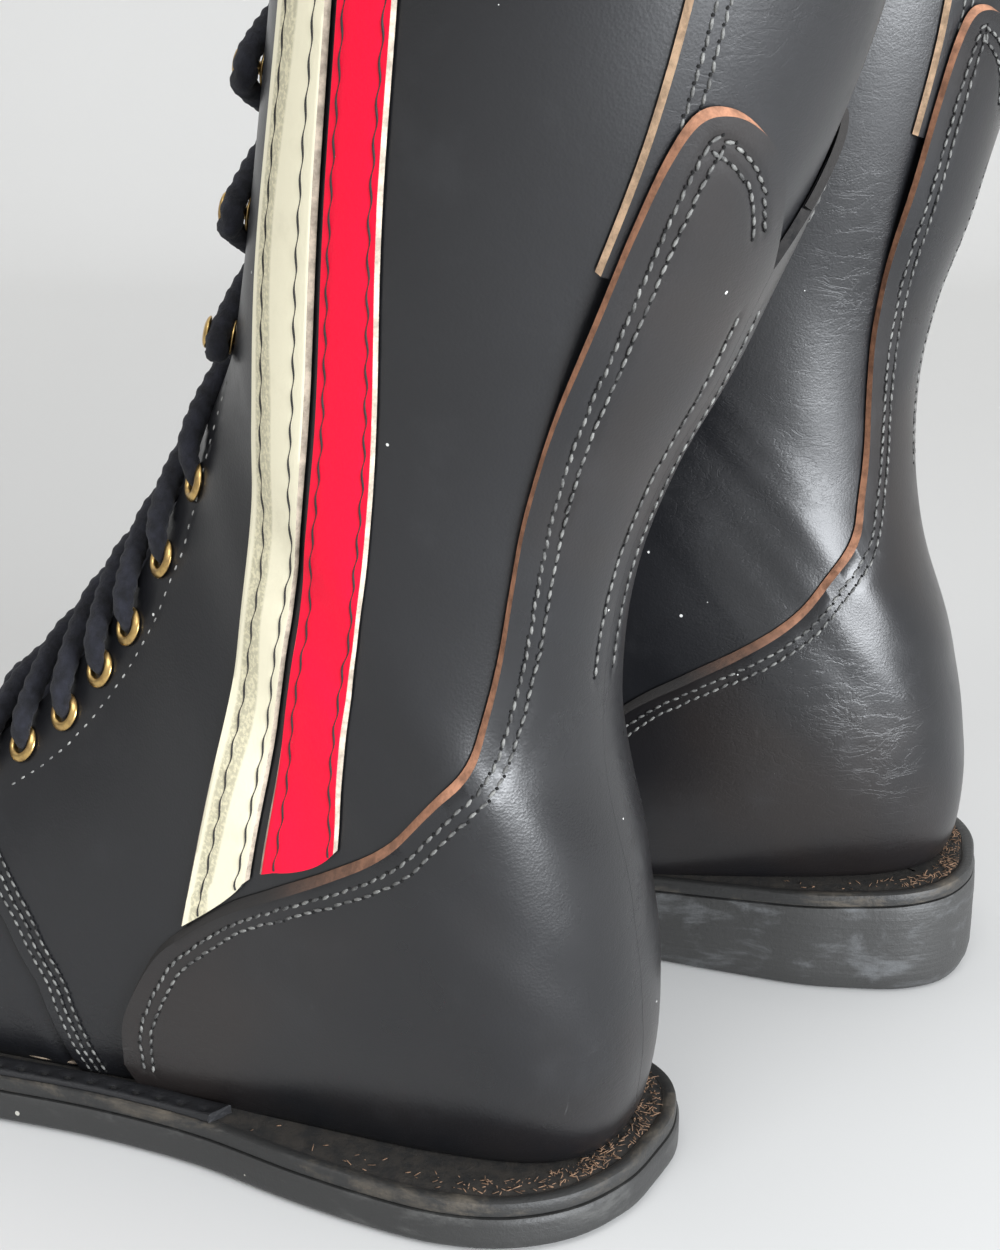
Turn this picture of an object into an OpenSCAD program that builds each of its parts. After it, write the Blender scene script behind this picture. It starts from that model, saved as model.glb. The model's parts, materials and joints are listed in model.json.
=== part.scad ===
// A pair of tall laced boxing boots, standing side by side on one floor.
// Millimetres. Each boot is drawn in its own frame: x outwards (to the little-toe side), y towards
// the heel, so the toe points along -y, and z up from the feather line where upper meets sole.

/* [Whole boot] */
// Length of the sole from heel to toe
boot_length = 296; // [240:1:330]
// Greatest width of the sole at the ball of the foot
boot_width = 102; // [84:1:120]
// Height of the leg's top edge above the feather line
leg_height = 330; // [270:1:400]

/* [Soles] */
// Thickness of the left boot's flat outsole
outsole_t = 8.5; // [5:0.5:14]
// Thickness of the midsole under the upper
midsole_t = 4; // [2.5:0.5:6]
// Height of the feather line above the floor at the right boot's heel
wedge_heel_h = 32; // [26:1:40]
// Forward slope of the right boot's wedge sole, degrees
wedge_slope = 3.5; // [1:0.5:4]
// How far the midsole steps in from the outsole's edge
midsole_step = 1; // [0.5:0.5:3]
// Thickness of the welt strip
welt_t = 1.6; // [1:0.2:3]
// Thickness of the insole board
insole_t = 2.2; // [1.5:0.1:4]
// Thickness of the cork filler
filler_t = 1.4; // [1.3:0.1:3]
// Thickness of the sock liner
sock_t = 1.2; // [0.8:0.1:4]
// Length of the steel shank
shank_l = 110; // [80:1:140]
// Width of the steel shank
shank_w = 14; // [10:1:20]
// Thickness of the steel shank
shank_t = 1.2; // [0.8:0.1:1.3]

/* [Upper] */
// Thickness of the outer leather
leather_t = 1.8; // [1.2:0.1:2.4]
// Thickness of the stiffeners and eyelet stays
stay_t = 1.5; // [1:0.1:2]
// Thickness of the lining
lining_t = 0.8; // [0.6:0.1:1.2]
// Thickness of the heel covers and back strap
cover_t = 1.6; // [1.2:0.1:2.2]
// Thickness of the two side stripes
stripe_t = 1.2; // [0.8:0.1:1.6]
// Thickness of the tongue
tongue_t = 1.8; // [1.2:0.1:2.4]
// Clearance between two layers of leather
layer_gap = 0.5; // [0.4:0.1:0.8]
// Clearance where two panels meet edge to edge
seam_gap = 0.4; // [0.3:0.1:0.8]
// Height of the binding along the top edge
binding_h = 5; // [3:0.5:8]
// Forward lean taken out of the right boot's leg, degrees
right_lean = 9; // [0:1:12]

/* [Lacing] */
// Outer diameter of an eyelet's flange
eyelet_d = 9.5; // [8:0.5:11]
// Diameter of an eyelet's bore
eyelet_bore = 5; // [4:0.5:6]
// Diameter of a lacing hook's cap
hook_cap_d = 7.4; // [6.5:0.1:9]
// Height of a lacing hook above the leather
hook_h = 7; // [6.5:0.5:9]
// Diameter of the lace
lace_d = 5; // [4:0.5:5.5]
// Length of the tip on each lace end
aglet_l = 16; // [12:1:24]

/* [Pair] */
// Distance from the left boot's heel to the right boot's heel, sideways
pair_gap = 172; // [160:1:240]
// How far the right boot's heel stands behind the left boot's heel
pair_stagger = 31; // [0:1:60]
// Turn of the right boot's toe towards the left boot, degrees
pair_turn = 14.5; // [0:0.5:15]

/* [Hidden] */

BLACK = "#1e1f22";
LINING = "#5a4634";
CREAM = "#d9cfae";
RED = "#c8142e";
RUBBER = "#303234";
BRASS = "#a98a4a";
CORK = "#a5793f";
STEEL = "#8a8d90";

// The sections and outlines below are drawn for a boot of these sizes, then scaled.
DRAWN_LENGTH = 296;
DRAWN_WIDTH = 102;
DRAWN_LEG = 330;
scale_w = boot_width / DRAWN_WIDTH;
scale_l = boot_length / DRAWN_LENGTH;
scale_h = leg_height / DRAWN_LEG;

// The outer surface of the upper is a fan of rings: each leans from lying across the toe to
// standing level round the leg. A ring gives its front or top point [forward, up], its back or
// bottom point [forward, up], its half widths [outer side, inner side], the sideways offset of
// its middle, and the squareness of its back half.
RINGS = [
    [288, 6, 288, 4, 1, 1, -4, 2.0],
    [284, 23, 284, -8, 22, 19, -4, 2.3],
    [273, 35, 273, -14, 36, 33, -3, 2.5],
    [252, 44, 252, -16, 46, 44, -1, 2.6],
    [224, 53, 222, -16, 49, 48, 0, 2.6],
    [198, 68, 190, -16, 47, 47, 0, 2.6],
    [172, 90, 152, -16, 42, 42, 0, 2.6],
    [152, 110, 112, -16, 39, 38, -1, 2.6],
    [136, 130, 72, -16, 39, 39, -3, 2.5],
    [124, 147, 32, -10, 41, 41, -4, 2.4],
    [116, 160, 10, 0, 41, 41, -4, 2.3],
    [109, 172, 4, 26, 41, 40, -3, 2.3],
    [102, 185, 6, 60, 40, 39, -2, 2.2],
    [97, 197, 14, 100, 41, 40, -1, 2.1],
    [91, 218, 9, 142, 44, 42, 0, 2.1],
    [86, 242, -10, 186, 49, 47, 0, 2.1],
    [81, 268, -30, 230, 54, 51, 0, 2.1],
    [77, 296, -43, 274, 57, 54, 0, 2.1],
    [74, 330, -49, 322, 58, 55, 0, 2.1]];
TOP_RING = len(RINGS) - 1;
FRONT_SQUARENESS = 2.1;
// Ring number at which the back point reaches the feather line at the heel.
HEEL_RING = 10;
// Height at which the leg starts to lean forward on the right boot.
LEAN_START = 95;
LEAN_BLEND = 30;

// Outline of the sole seen from above [sideways, forward], from the heel round the outer side.
SOLE = [
    [-6, -2], [8, -1], [23, 5], [34, 16], [40, 30], [42, 46], [42, 70], [40, 100], [42, 130],
    [47, 160], [51, 190], [52, 220], [49, 250], [43, 271], [28, 286], [-2, 294], [-32, 286],
    [-45, 270], [-50, 250], [-50, 220], [-49, 190], [-44, 160], [-40, 130], [-38, 100],
    [-42, 70], [-45, 46], [-44, 30], [-41, 16], [-33, 5], [-20, -1]];
SOLE_STEPS = 3;

// Half the angle that the open front takes, ring by ring, from the throat to the top.
FRONT_EDGE = [[6, 36], [7.3, 36], [8, 32], [9, 26], [10.3, 21], [12.5, 13], [18, 11]];
// Eyelets and hooks [angle, ring].
EYELETS = [[46, 6.1], [47, 6.62], [47, 7.2], [44, 7.74], [41, 8.26], [35, 9.05], [31, 10.3]];
HOOKS = [[23, 12.5], [23, 13.95], [22, 15.15], [21, 16.25], [20, 17.2]];
// Ring of the seam between vamp and quarters at the sole, how far it drops at the throat, and
// the angles between which it drops.
SEAM_RING = 6.42;
SEAM_DROP = 0.75;
THROAT_ANGLE = 36;
SEAM_LEVEL_ANGLE = 100;
// Edge of the heel cover [angle, ring], from the sole at the side up to the back seam, and the
// points under it along the sole and the back seam; 0 stands for the angle of the feather line.
COVER_EDGE = [
    [121, 6.9], [107, 7.1], [97, 7.5], [93, 7.95], [91, 8.75], [93, 10.05], [102, 11.2],
    [113, 12], [130, 12.75], [138, 13.3], [140, 13.75], [139, 14.25], [137, 14.8], [137, 15.25],
    [137, 15.6], [138, 15.9], [141, 16.1], [147, 16.15], [155, 16.1], [164, 15.97],
    [172, 15.75]];
COVER_FOOT = [
    [0, 6.9], [0, 7.2], [0, 7.5], [0, 7.85], [0, 8.2], [0, 8.6], [0, 9], [0, 9.4], [0, 9.7],
    [0, 9.9], [180, 10], [180, 10.9], [180, 11.7], [180, 12.5], [180, 13.3], [180, 14],
    [180, 14.6], [180, 15], [180, 15.25], [180, 15.4], [180, 15.5]];
// Front edge of the strap up the back, and the ring it starts at.
STRAP_EDGE = 134;
STRAP_RING = 15.35;
// Edges of the stripes on the outer side [forward, up], from the heel cover to the top.
CREAM_FRONT = [[103, 50], [89, 103], [84, 128], [78, 170], [73, 209], [62, 257], [49, 318]];
CREAM_BACK = [[82, 67], [72, 112], [65, 146], [58, 180], [51, 222], [45, 257], [35, 318]];
RED_FRONT = [[79, 69], [70, 112], [63, 146], [56, 180], [49, 222], [43, 257], [33, 318]];
RED_BACK = [[58, 79], [53, 115], [47, 146], [41, 181], [35, 222], [29, 257], [19, 318]];
// Middle height of the rings, a first guess when a side point is looked up.
RING_AT_HEIGHT = [[40, 7.3], [57, 8], [68, 9], [80, 10], [99, 11], [122, 12], [148, 13],
    [180, 14], [214, 15], [249, 16], [285, 17], [326, 18]];

// Depths of the layers below the outer surface.
stay_top = -leather_t - layer_gap;
stay_low = stay_top - stay_t;
lining_top = stay_low - layer_gap;
lining_low = lining_top - lining_t;
// Radius of the lace where it is pressed flat between stay and tongue, and its clearances there.
lace_flat_r = 1.2;
UNDER_STAY = 0.8;
OVER_TONGUE = 0.7;
lace_under = stay_low - UNDER_STAY - lace_flat_r;
tongue_top = lace_under - lace_flat_r - OVER_TONGUE;
tongue_low = tongue_top - tongue_t;
// The last interval of rings rises this much, so a height at the top turns into a ring number.
TOP_RISE = 33;
binding_ring = TOP_RING - binding_h / (TOP_RISE * scale_h);
panel_top = binding_ring - seam_gap / (TOP_RISE * scale_h);
// Half of the gap between the quarters at the back seam, degrees.
seam_angle = 0.35;
// The insole and all on it stay inside the linings by this clearance.
INSOLE_CLEAR = 1;
sole_inset = leather_t + stay_t + lining_t + 2 * layer_gap + INSOLE_CLEAR;

// ---------------------------------------------------------------- shape of the upper

function curve(a, b, c, d, t) =
    0.5 * ((2 * b) + (c - a) * t + (2 * a - 5 * b + 4 * c - d) * t * t
        + (3 * b - a - 3 * c + d) * t * t * t);

function ring(v) = let (i = min(floor(v), TOP_RING - 1))
    curve(RINGS[max(i - 1, 0)], RINGS[i], RINGS[i + 1], RINGS[min(i + 2, TOP_RING)], v - i);

function power(x, n) = sign(x) * pow(abs(x), n);

// Forward shift of the leg at a height, for a boot that leans back less.
function leaned(h) = let (up = h - LEAN_START)
    tan($lean) * (sqrt(up * up + LEAN_BLEND * LEAN_BLEND) + up) / 2;

// Point of the outer surface at an angle from the front, 90 at the outer side, and a ring.
function outer_face(u, v) = let (
    r = ring(v),
    n = cos(u) < 0 ? r[7] : FRONT_SQUARENESS,
    x = power(cos(u), 2 / n),
    y = power(sin(u), 2 / n),
    up = (r[1] + r[3]) / 2 + x * (r[1] - r[3]) / 2,
    fore = (r[0] + r[2]) / 2 + x * (r[0] - r[2]) / 2 + leaned(up),
    side = r[6] + y * (sin(u) > 0 ? r[4] : r[5]))
    [side * scale_w, -fore * scale_l, up * scale_h];

function unit(a) = a / norm(a);

function outward(u, v) = let (
    low = max(v - 0.04, 0),
    high = min(v + 0.04, TOP_RING))
    unit(cross(outer_face(u + 1.5, v) - outer_face(u - 1.5, v), outer_face(u, high) - outer_face(u, low)));

// Point at a height above the surface, or below it, never under the feather line.
function skin(u, v, h) = let (p = outer_face(u, v) + h * outward(u, v)) [p.x, p.y, max(p.z, 0)];

// Angle at which a ring meets the feather line.
function feather(v) = let (
    r = ring(v),
    mid = (r[1] + r[3]) / 2,
    half = (r[1] - r[3]) / 2)
    v >= HEEL_RING || r[3] >= 0 ? 180 : acos(-pow(min(mid / half, 1), r[7] / 2));

function back_end(v) = min(feather(v), 180 - seam_angle);

// Angle and ring of a point on the outer side, seen from the side, found by Newton's steps.
function side_error(u, v, f, z) = let (p = outer_face(u, v)) [-p.y / scale_l - f, p.z / scale_h - z];
function side_step(u, v, f, z, left) = left == 0 ? [u, v] : let (
    e = side_error(u, v, f + leaned(z), z),
    eu = side_error(u + 1, v, f + leaned(z), z) - e,
    ev = (side_error(u, v - 0.02, f + leaned(z), z) - e) / -0.02,
    det = eu.x * ev.y - eu.y * ev.x,
    du = (-e.x * ev.y + e.y * ev.x) / det,
    dv = (-eu.x * e.y + eu.y * e.x) / det)
    side_step(u + du, min(v + dv, TOP_RING), f, z, left - 1);
function on_side(f, z) = side_step(90.5, lookup(z, RING_AT_HEIGHT), f, z, 8);

function at(list, t) = let (
    n = len(list) - 1,
    i = min(floor(t * n), n - 1))
    curve(list[max(i - 1, 0)], list[i], list[i + 1], list[min(i + 2, n)], t * n - i);

function mix(a, b, t) = a + (b - a) * t;

// ---------------------------------------------------------------- closed leather panels

function band(a, b, m) = [for (j = [0:m - 2])
    each [[a + j, b + j, b + j + 1], [a + j, b + j + 1, a + j + 1]]];

// Two skins of the same grid [angle, ring, lift], at two heights, with a wall round the edge.
module panel(grid, low, high, inner = false) {
    rows = len(grid);
    m = len(grid[0]);
    points = concat(
        [for (row = grid) for (c = row) skin(c[0], c[1], high + c[2])],
        [for (row = grid) for (c = row) skin(c[0], c[1], low + c[2])]);
    n = rows * m;
    outer = [for (i = [0:rows - 2]) each band(i * m, (i + 1) * m, m)];
    under = [for (f = outer) [f[2] + n, f[1] + n, f[0] + n]];
    rim = concat(
        [for (j = [0:m - 1]) j],
        [for (i = [1:rows - 1]) i * m + m - 1],
        [for (j = [m - 2:-1:0]) (rows - 1) * m + j],
        [for (i = [rows - 2:-1:1]) i * m]);
    k = len(rim);
    wall = [for (i = [0:k - 1]) let (a = rim[i], b = rim[(i + 1) % k])
        each [[a, b, b + n], [a, b + n, a + n]]];
    faces = concat(outer, under, wall);
    polyhedron(points, inner ? [for (f = faces) [f[2], f[1], f[0]]] : faces);
}

function steps(a, b, n) = [for (i = [0:n]) a + (b - a) * i / n];

function seam_drop(u) = let (span = SEAM_LEVEL_ANGLE - THROAT_ANGLE)
    SEAM_DROP * (1 - min(max((abs(u) - THROAT_ANGLE) / span, 0), 1));

// All layers of the vamp share one set of rows and columns, and so do all layers of a quarter,
// so that their facets lie parallel and keep their gap. The rows near the seam drop with it.
VAMP_ROWS = [0, 0.4, 0.8, 1.2, 1.7, 2.3, 3, 3.8, 4.6, 5.5, SEAM_RING - 0.02];
VAMP_COLUMNS = 14;
VAMP_DROP_FROM = 3.8;
VAMP_END_ANGLE = 178;
QUARTER_ROWS = [SEAM_RING, 6.9, 7.5, 8.1, 8.7, 9.2, 9.6, 9.85, 10, 10.3, 10.65, 11, 11.4, 12,
    12.6, 13.2, 13.8, 14.5, 15.2, 16, 16.8, panel_top];
QUARTER_DROP_TO = 8.1;
STAY_COLUMNS = 3;
BACK_COLUMNS = 9;

function vamp_grid(rows) = [for (v = rows) [for (s = steps(-1, 1, VAMP_COLUMNS)) let (
    u = s * min(feather(v), VAMP_END_ANGLE),
    share = max(0, (v - VAMP_DROP_FROM) / (SEAM_RING - VAMP_DROP_FROM)))
    [u, v - seam_drop(u) * share, 0]]];

// Angle that the stay behind the eyelets takes; the lining starts behind it.
function stay_width(v) = 27 - min(v, 12);

// Side panel, from the open front to the back seam: the first columns lie over the stay, and
// the lining starts just behind it.
LINING_START = 2;
function quarter_angles(v) = let (edge = lookup(v, FRONT_EDGE), stay_end = edge + stay_width(v))
    concat(steps(edge, stay_end, STAY_COLUMNS),
        steps(stay_end + LINING_START, back_end(v), BACK_COLUMNS));
function quarter_grid(from, to) = [for (v = QUARTER_ROWS) let (angles = quarter_angles(v))
    [for (j = [from:to]) let (
        u = angles[j],
        share = max(0, (QUARTER_DROP_TO - v) / (QUARTER_DROP_TO - SEAM_RING)))
        [u, v - seam_drop(u) * share, 0]]];
LAST_COLUMN = STAY_COLUMNS + BACK_COLUMNS + 1;

function mirrored(grid, side) = [for (row = grid) [for (c = row) [c[0] * side, c[1], c[2]]]];

module vamp() color(BLACK) panel(vamp_grid(VAMP_ROWS), -leather_t, 0);

module vamp_lining() color(LINING)
    panel(vamp_grid([for (i = [1:len(VAMP_ROWS) - 1]) VAMP_ROWS[i]]), lining_low, lining_top);

module toe_puff() color(CORK)
    panel(vamp_grid([for (i = [2:6]) VAMP_ROWS[i]]), stay_low, stay_top);

module quarter(side) color(BLACK) difference() {
    panel(mirrored(quarter_grid(0, LAST_COLUMN), side), -leather_t, 0, side < 0);
    fitting_holes(side);
}

module lining(side) color(LINING)
    panel(mirrored(quarter_grid(STAY_COLUMNS + 1, LAST_COLUMN), side), lining_low, lining_top,
        side < 0);

// Extra clearance of the covers and the stiffener, which are cupped both ways round the heel.
HEEL_CLEAR = 0.65;
// The covers' tops lie over the strap's lower end.
function over_strap(v) = let (t = min(max((v - STRAP_RING + 0.9) / 0.7, 0), 1))
    (cover_t + 0.4) * t * t * (3 - 2 * t);

module heel_cover(side) color(BLACK) {
    columns = 7;
    grid = [for (i = [0:len(COVER_EDGE) - 1]) let (
        e = COVER_EDGE[i],
        f = COVER_FOOT[i],
        foot = [f[0] == 0 ? feather(f[1]) : 180 - seam_angle, f[1]])
        [for (t = steps(0, 1, columns)) let (c = mix(e, foot, t)) [c[0], c[1], over_strap(c[1])]]];
    panel(mirrored(grid, side), layer_gap + HEEL_CLEAR, layer_gap + HEEL_CLEAR + cover_t,
        side < 0);
}

// One piece, cupped round the heel between quarter and lining.
module heel_stiffener() color(CORK) {
    foot = [7.6, 7.9, 8.2, 8.5, 8.8, 9.1, 9.3, 9.5, 9.7, 9.8, 9.9, 10];
    top = [8.4, 8.85, 9.3, 9.85, 10.4, 10.8, 11.2, 11.5, 11.8, 11.9, 12, 12];
    top_u = [112, 109, 106, 106, 108, 113, 120, 128, 138, 149, 160, 180];
    last = len(foot) - 1;
    half = [for (i = [0:last]) [for (t = steps(0, 1, 6))
        mix([top_u[i], top[i], 0], [feather(foot[i]), foot[i], 0], t)]];
    other = [for (i = [last - 1:-1:0]) [for (c = half[i]) [360 - c[0], c[1], 0]]];
    panel(concat(half, other), stay_low, stay_top - HEEL_CLEAR);
}

module back_strap() color(BLACK)
    panel([for (v = [STRAP_RING, 15.8, 16.3, 16.8, 17.3, panel_top])
        steps_at(STRAP_EDGE, 360 - STRAP_EDGE, 8, v)], layer_gap, layer_gap + cover_t);

function steps_at(a, b, n, v) = [for (u = steps(a, b, n)) [u, v, 0]];

// Stay behind the eyelets, and the tongue under the open front.
module stay(side) color(BLACK) difference() {
    panel(mirrored(quarter_grid(0, STAY_COLUMNS), side), stay_low, stay_top, side < 0);
    fitting_holes(side);
}

// The tongue starts under the vamp's rear edge, and is wider than the opening by its margin.
TONGUE_ROWS = [5.5, 6.1, 6.7, 7.4, 8.2, 9, 9.8, 10.7, 11.6, 12.6, 13.6, 14.6, 15.6, 16.6, 17.3,
    18];
TONGUE_MARGIN = 12;
module tongue() color(BLACK)
    panel([for (v = TONGUE_ROWS) let (u = lookup(v, FRONT_EDGE) + TONGUE_MARGIN)
        steps_at(-u, u, 8, v)],
        tongue_low, tongue_top);

module stripe(front, back) {
    rows = 16;
    grid = [for (t = steps(0, 1, rows)) let (
        f = at(front, t),
        b = at(back, t),
        pf = on_side(f[0], f[1]),
        pb = on_side(b[0], b[1]))
        [for (s = steps(0, 1, 2)) let (c = mix(pf, pb, s)) [c[0], c[1], 0]]];
    panel(grid, layer_gap, layer_gap + stripe_t);
}
module stripe_cream() color(CREAM) stripe(CREAM_FRONT, CREAM_BACK);
module stripe_red() color(RED) stripe(RED_FRONT, RED_BACK);

module top_binding() color(BLACK) {
    start = lookup(TOP_RING, FRONT_EDGE);
    panel([for (v = [binding_ring, TOP_RING]) steps_at(start, 360 - start, 24, v)],
        lining_low, 0.2);
}

// ---------------------------------------------------------------- lacing

// Puts a fitting on the surface, its own z pointing out of the leather.
module on_skin(u, v) {
    n = outward(u, v);
    translate(outer_face(u, v)) rotate([0, acos(n.z), atan2(n.y, n.x)]) children();
}

module both_sides(places) for (p = places) for (side = [-1, 1]) on_skin(side * p[0], p[1])
    children();

// Clearance of a fitting in its hole, and of its flat faces from the curved leather.
EYELET_FIT = 0.05;
FITTING_GAP = 0.3;
module eyelet() {
    bore = eyelet_bore / 2;
    wall = 0.6;
    rotate_extrude($fn = 32) polygon([
        [bore, stay_low - FITTING_GAP - 0.5], [bore, 0.9], [bore + 0.9, 1.4],
        [eyelet_d / 2 - 0.6, 1.1], [eyelet_d / 2, FITTING_GAP], [bore + wall, FITTING_GAP],
        [bore + wall, stay_low - FITTING_GAP], [bore + wall + 1, stay_low - FITTING_GAP],
        [bore + wall + 1, stay_low - FITTING_GAP - 0.5]]);
}
module eyelets() color(BRASS) both_sides(EYELETS) eyelet();

// A hook is a round foot, a waist that the lace goes round, and a domed cap; its rivet is
// clenched behind the stay.
HOOK_FOOT_R = 4;
HOOK_WAIST_R = 1.4;
HOOK_RIVET_R = 2.2;
module lace_hook() rotate_extrude($fn = 32) polygon([
    [0, stay_low - FITTING_GAP - 0.6], [HOOK_RIVET_R, stay_low - FITTING_GAP - 0.6],
    [HOOK_RIVET_R, stay_low - FITTING_GAP], [HOOK_WAIST_R, stay_low - FITTING_GAP],
    [HOOK_WAIST_R, FITTING_GAP], [HOOK_FOOT_R, FITTING_GAP], [HOOK_FOOT_R, FITTING_GAP + 0.5],
    [HOOK_WAIST_R, FITTING_GAP + 0.8], [HOOK_WAIST_R, hook_h - 1.2], [hook_cap_d / 2, hook_h - 1.2],
    [hook_cap_d / 2 - 0.3, hook_h - 0.7], [hook_cap_d / 4, hook_h - 0.1], [0, hook_h]]);
module lace_hooks() color(BRASS) both_sides(HOOKS) lace_hook();

// Holes through the leather for the eyelets and the hooks' rivets.
module fitting_holes(side) {
    for (p = EYELETS) on_skin(side * p[0], p[1])
        translate([0, 0, stay_low - 3]) cylinder(r = eyelet_bore / 2 + 0.6 + EYELET_FIT,
            h = 8 - stay_low, $fn = 24);
    for (p = HOOKS) on_skin(side * p[0], p[1])
        translate([0, 0, stay_low - 3]) cylinder(r = HOOK_WAIST_R + EYELET_FIT,
            h = 8 - stay_low, $fn = 24);
}

// A tube of eight sides through points [x, y, z, radius].
LACE_SIDES = 8;
function xyz(p) = [p[0], p[1], p[2]];
module tube(path) {
    n = len(path);
    tangents = [for (i = [0:n - 1])
        unit(xyz(path[min(i + 1, n - 1)]) - xyz(path[max(i - 1, 0)]))];
    normals = carried(tangents, [], unit(cross(tangents[0], [0.3, 0.9, 0.1])));
    rings = [for (i = [0:n - 1]) let (a = normals[i], b = cross(tangents[i], a))
        each [for (k = [0:LACE_SIDES - 1]) let (q = 360 * k / LACE_SIDES)
            xyz(path[i]) + path[i][3] * (cos(q) * a + sin(q) * b)]];
    sides = [for (i = [0:n - 2]) for (k = [0:LACE_SIDES - 1]) let (
        k2 = (k + 1) % LACE_SIDES,
        a = i * LACE_SIDES,
        b = a + LACE_SIDES)
        each [[a + k, a + k2, b + k2], [a + k, b + k2, b + k]]];
    first = [for (k = [1:LACE_SIDES - 2]) [0, k + 1, k]];
    e = (n - 1) * LACE_SIDES;
    last = [for (k = [1:LACE_SIDES - 2]) [e, e + k, e + k + 1]];
    polyhedron(rings, [for (f = concat(sides, first, last)) [f[2], f[1], f[0]]]);
}

// Each ring's first direction is the one before it, turned only as much as the path turns.
function carried(tangents, done, n) = len(done) == len(tangents) ? done : let (
    t = tangents[len(done)],
    m = unit(n - (n * t) * t))
    carried(tangents, concat(done, [m]), m);

lace_r = lace_d / 2;
lace_over = lace_r + 0.3;
cross_high = lace_over - 0.4;
cross_low = cross_high - lace_d - 0.4;
function lace_point(u, v, h, r) = let (p = outer_face(u, v) + h * outward(u, v)) [p.x, p.y, p.z, r];

function lace_rows() = concat(EYELETS, HOOKS);
// Ring of the lowest bar, where the lace's two halves meet.
BAR_RING = 6.12;

// Half of the lace, from the middle of the lowest bar up to the knot. It comes out of each
// eyelet, crosses the open front and goes under the far edge to the next one; above the last
// eyelet it goes round the hooks.
function lace_half(start) = let (rows = lace_rows(), n = len(EYELETS)) concat(
    [lace_point(start * 1, BAR_RING, cross_high, lace_r),
     lace_point(start * 16, BAR_RING, cross_high, lace_r)],
    [for (k = [0:n - 1]) let (
        s = start * (k % 2 == 0 ? 1 : -1),
        u = rows[k][0],
        v = rows[k][1],
        v2 = rows[k + 1][1],
        edge = lookup(mix(v, v2, 0.8), FRONT_EDGE),
        h = s > 0 ? cross_high : cross_low,
        hooked = k == n - 1)
        each [
            lace_point(s * u, v, -0.6, lace_flat_r + 0.6),
            lace_point(s * (u - 6), mix(v, v2, 0.18), lace_over, lace_r * 0.9),
            lace_point(s * edge / 3, mix(v, v2, 0.42), h, lace_r),
            lace_point(-s * edge / 3, mix(v, v2, 0.6), h, lace_r),
            lace_point(-s * (edge - 1), mix(v, v2, 0.78), hooked ? lace_over : lace_under,
                hooked ? lace_r : lace_flat_r)]],
    [for (k = [n:len(rows) - 1]) let (
        s = start * (k % 2 == 0 ? 1 : -1),
        u = rows[k][0],
        v = rows[k][1],
        last = k == len(rows) - 1,
        dv = last ? 0.5 : rows[k + 1][1] - v,
        h = s > 0 ? cross_high : cross_low)
        each concat([
            lace_point(s * (u + 2), v - 0.16, lace_over, lace_r * 0.9),
            lace_point(s * (u + 7), v, lace_over + 0.3, lace_r * 0.9),
            lace_point(s * (u + 1), v + 0.17, lace_over, lace_r * 0.9)],
            [last ? lace_point(s * 7, 17.42, h, lace_r * 0.7)
                : lace_point(0, v + dv / 2, h, lace_r)])]);

// The two ends meet in a small flat knot. Its tails lie on the leather on each side.
KNOT_RING = 17.62;
KNOT_R = 4.2;
knot_h = cross_high + 1;
function lace_tail(s) = [
    lace_point(s * 7, KNOT_RING, knot_h, lace_r * 0.8),
    lace_point(s * 14, 17.64, lace_over + 0.8, lace_r),
    lace_point(s * 24, 17.5, lace_over + 0.3, lace_r),
    lace_point(s * 33, 17.2, lace_over + 0.3, lace_r),
    lace_point(s * 40, 16.8, lace_over + 0.3, lace_r * 0.8)];
module knot() translate(outer_face(0, KNOT_RING) + knot_h * outward(0, KNOT_RING))
    sphere(r = KNOT_R, $fn = 32);

module lace() color(BLACK) {
    tube(lace_half(1));
    tube(lace_half(-1));
    knot();
    for (s = [-1, 1]) tube(lace_tail(s));
}

// A plain round tip, in line with the end of its tail.
module aglets() color(BLACK) for (s = [-1, 1]) {
    tail = lace_tail(s);
    a = xyz(tail[3]);
    b = xyz(tail[4]);
    d = unit(b - a);
    translate(b + 0.1 * d) rotate([0, acos(d.z), atan2(d.y, d.x)])
        cylinder(r = lace_r * 0.7, h = aglet_l, $fn = 32);
}

// ---------------------------------------------------------------- soles and insoles

function scaled(p) = [p[0] * scale_w, -p[1] * scale_l];

SOLE_OUTLINE = [for (i = [0:len(SOLE) - 1]) for (k = [0:SOLE_STEPS - 1])
    let (n = len(SOLE)) scaled(curve(SOLE[(i + n - 1) % n], SOLE[i], SOLE[(i + 1) % n],
        SOLE[(i + 2) % n], k / SOLE_STEPS))];

// The same outline moved outwards by d, or inwards if d is negative.
function moved(pts, d) = let (n = len(pts)) [for (i = [0:n - 1]) let (
    t = unit(pts[(i + 1) % n] - pts[(i + n - 1) % n]))
    pts[i] + d * [-t.y, t.x]];

// Outline of the upper at a height above the feather line, from the heel round the outer side.
FOOT_RINGS = [10, 9.8, 9.5, 9.1, 8.6, 8, 7.4, 6.8, 6.2, 5.6, 5, 4.4, 3.8, 3.2, 2.6, 2.1, 1.6,
    1.2, 0.8, 0.5];
function foot_outline() = concat(
    [for (v = FOOT_RINGS) let (p = outer_face(feather(v), v)) [p.x, p.y]],
    [for (i = [len(FOOT_RINGS) - 1:-1:1]) let (v = FOOT_RINGS[i], p = outer_face(-feather(v), v))
        [p.x, p.y]]);

module layer(outline, low, high) translate([0, 0, low]) linear_extrude(high - low)
    polygon(outline);

module midsole() color(RUBBER) layer(moved(SOLE_OUTLINE, -midsole_step), -midsole_t, 0);

module flat_outsole() color(RUBBER) layer(SOLE_OUTLINE, -midsole_t - outsole_t, -midsole_t);

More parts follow.
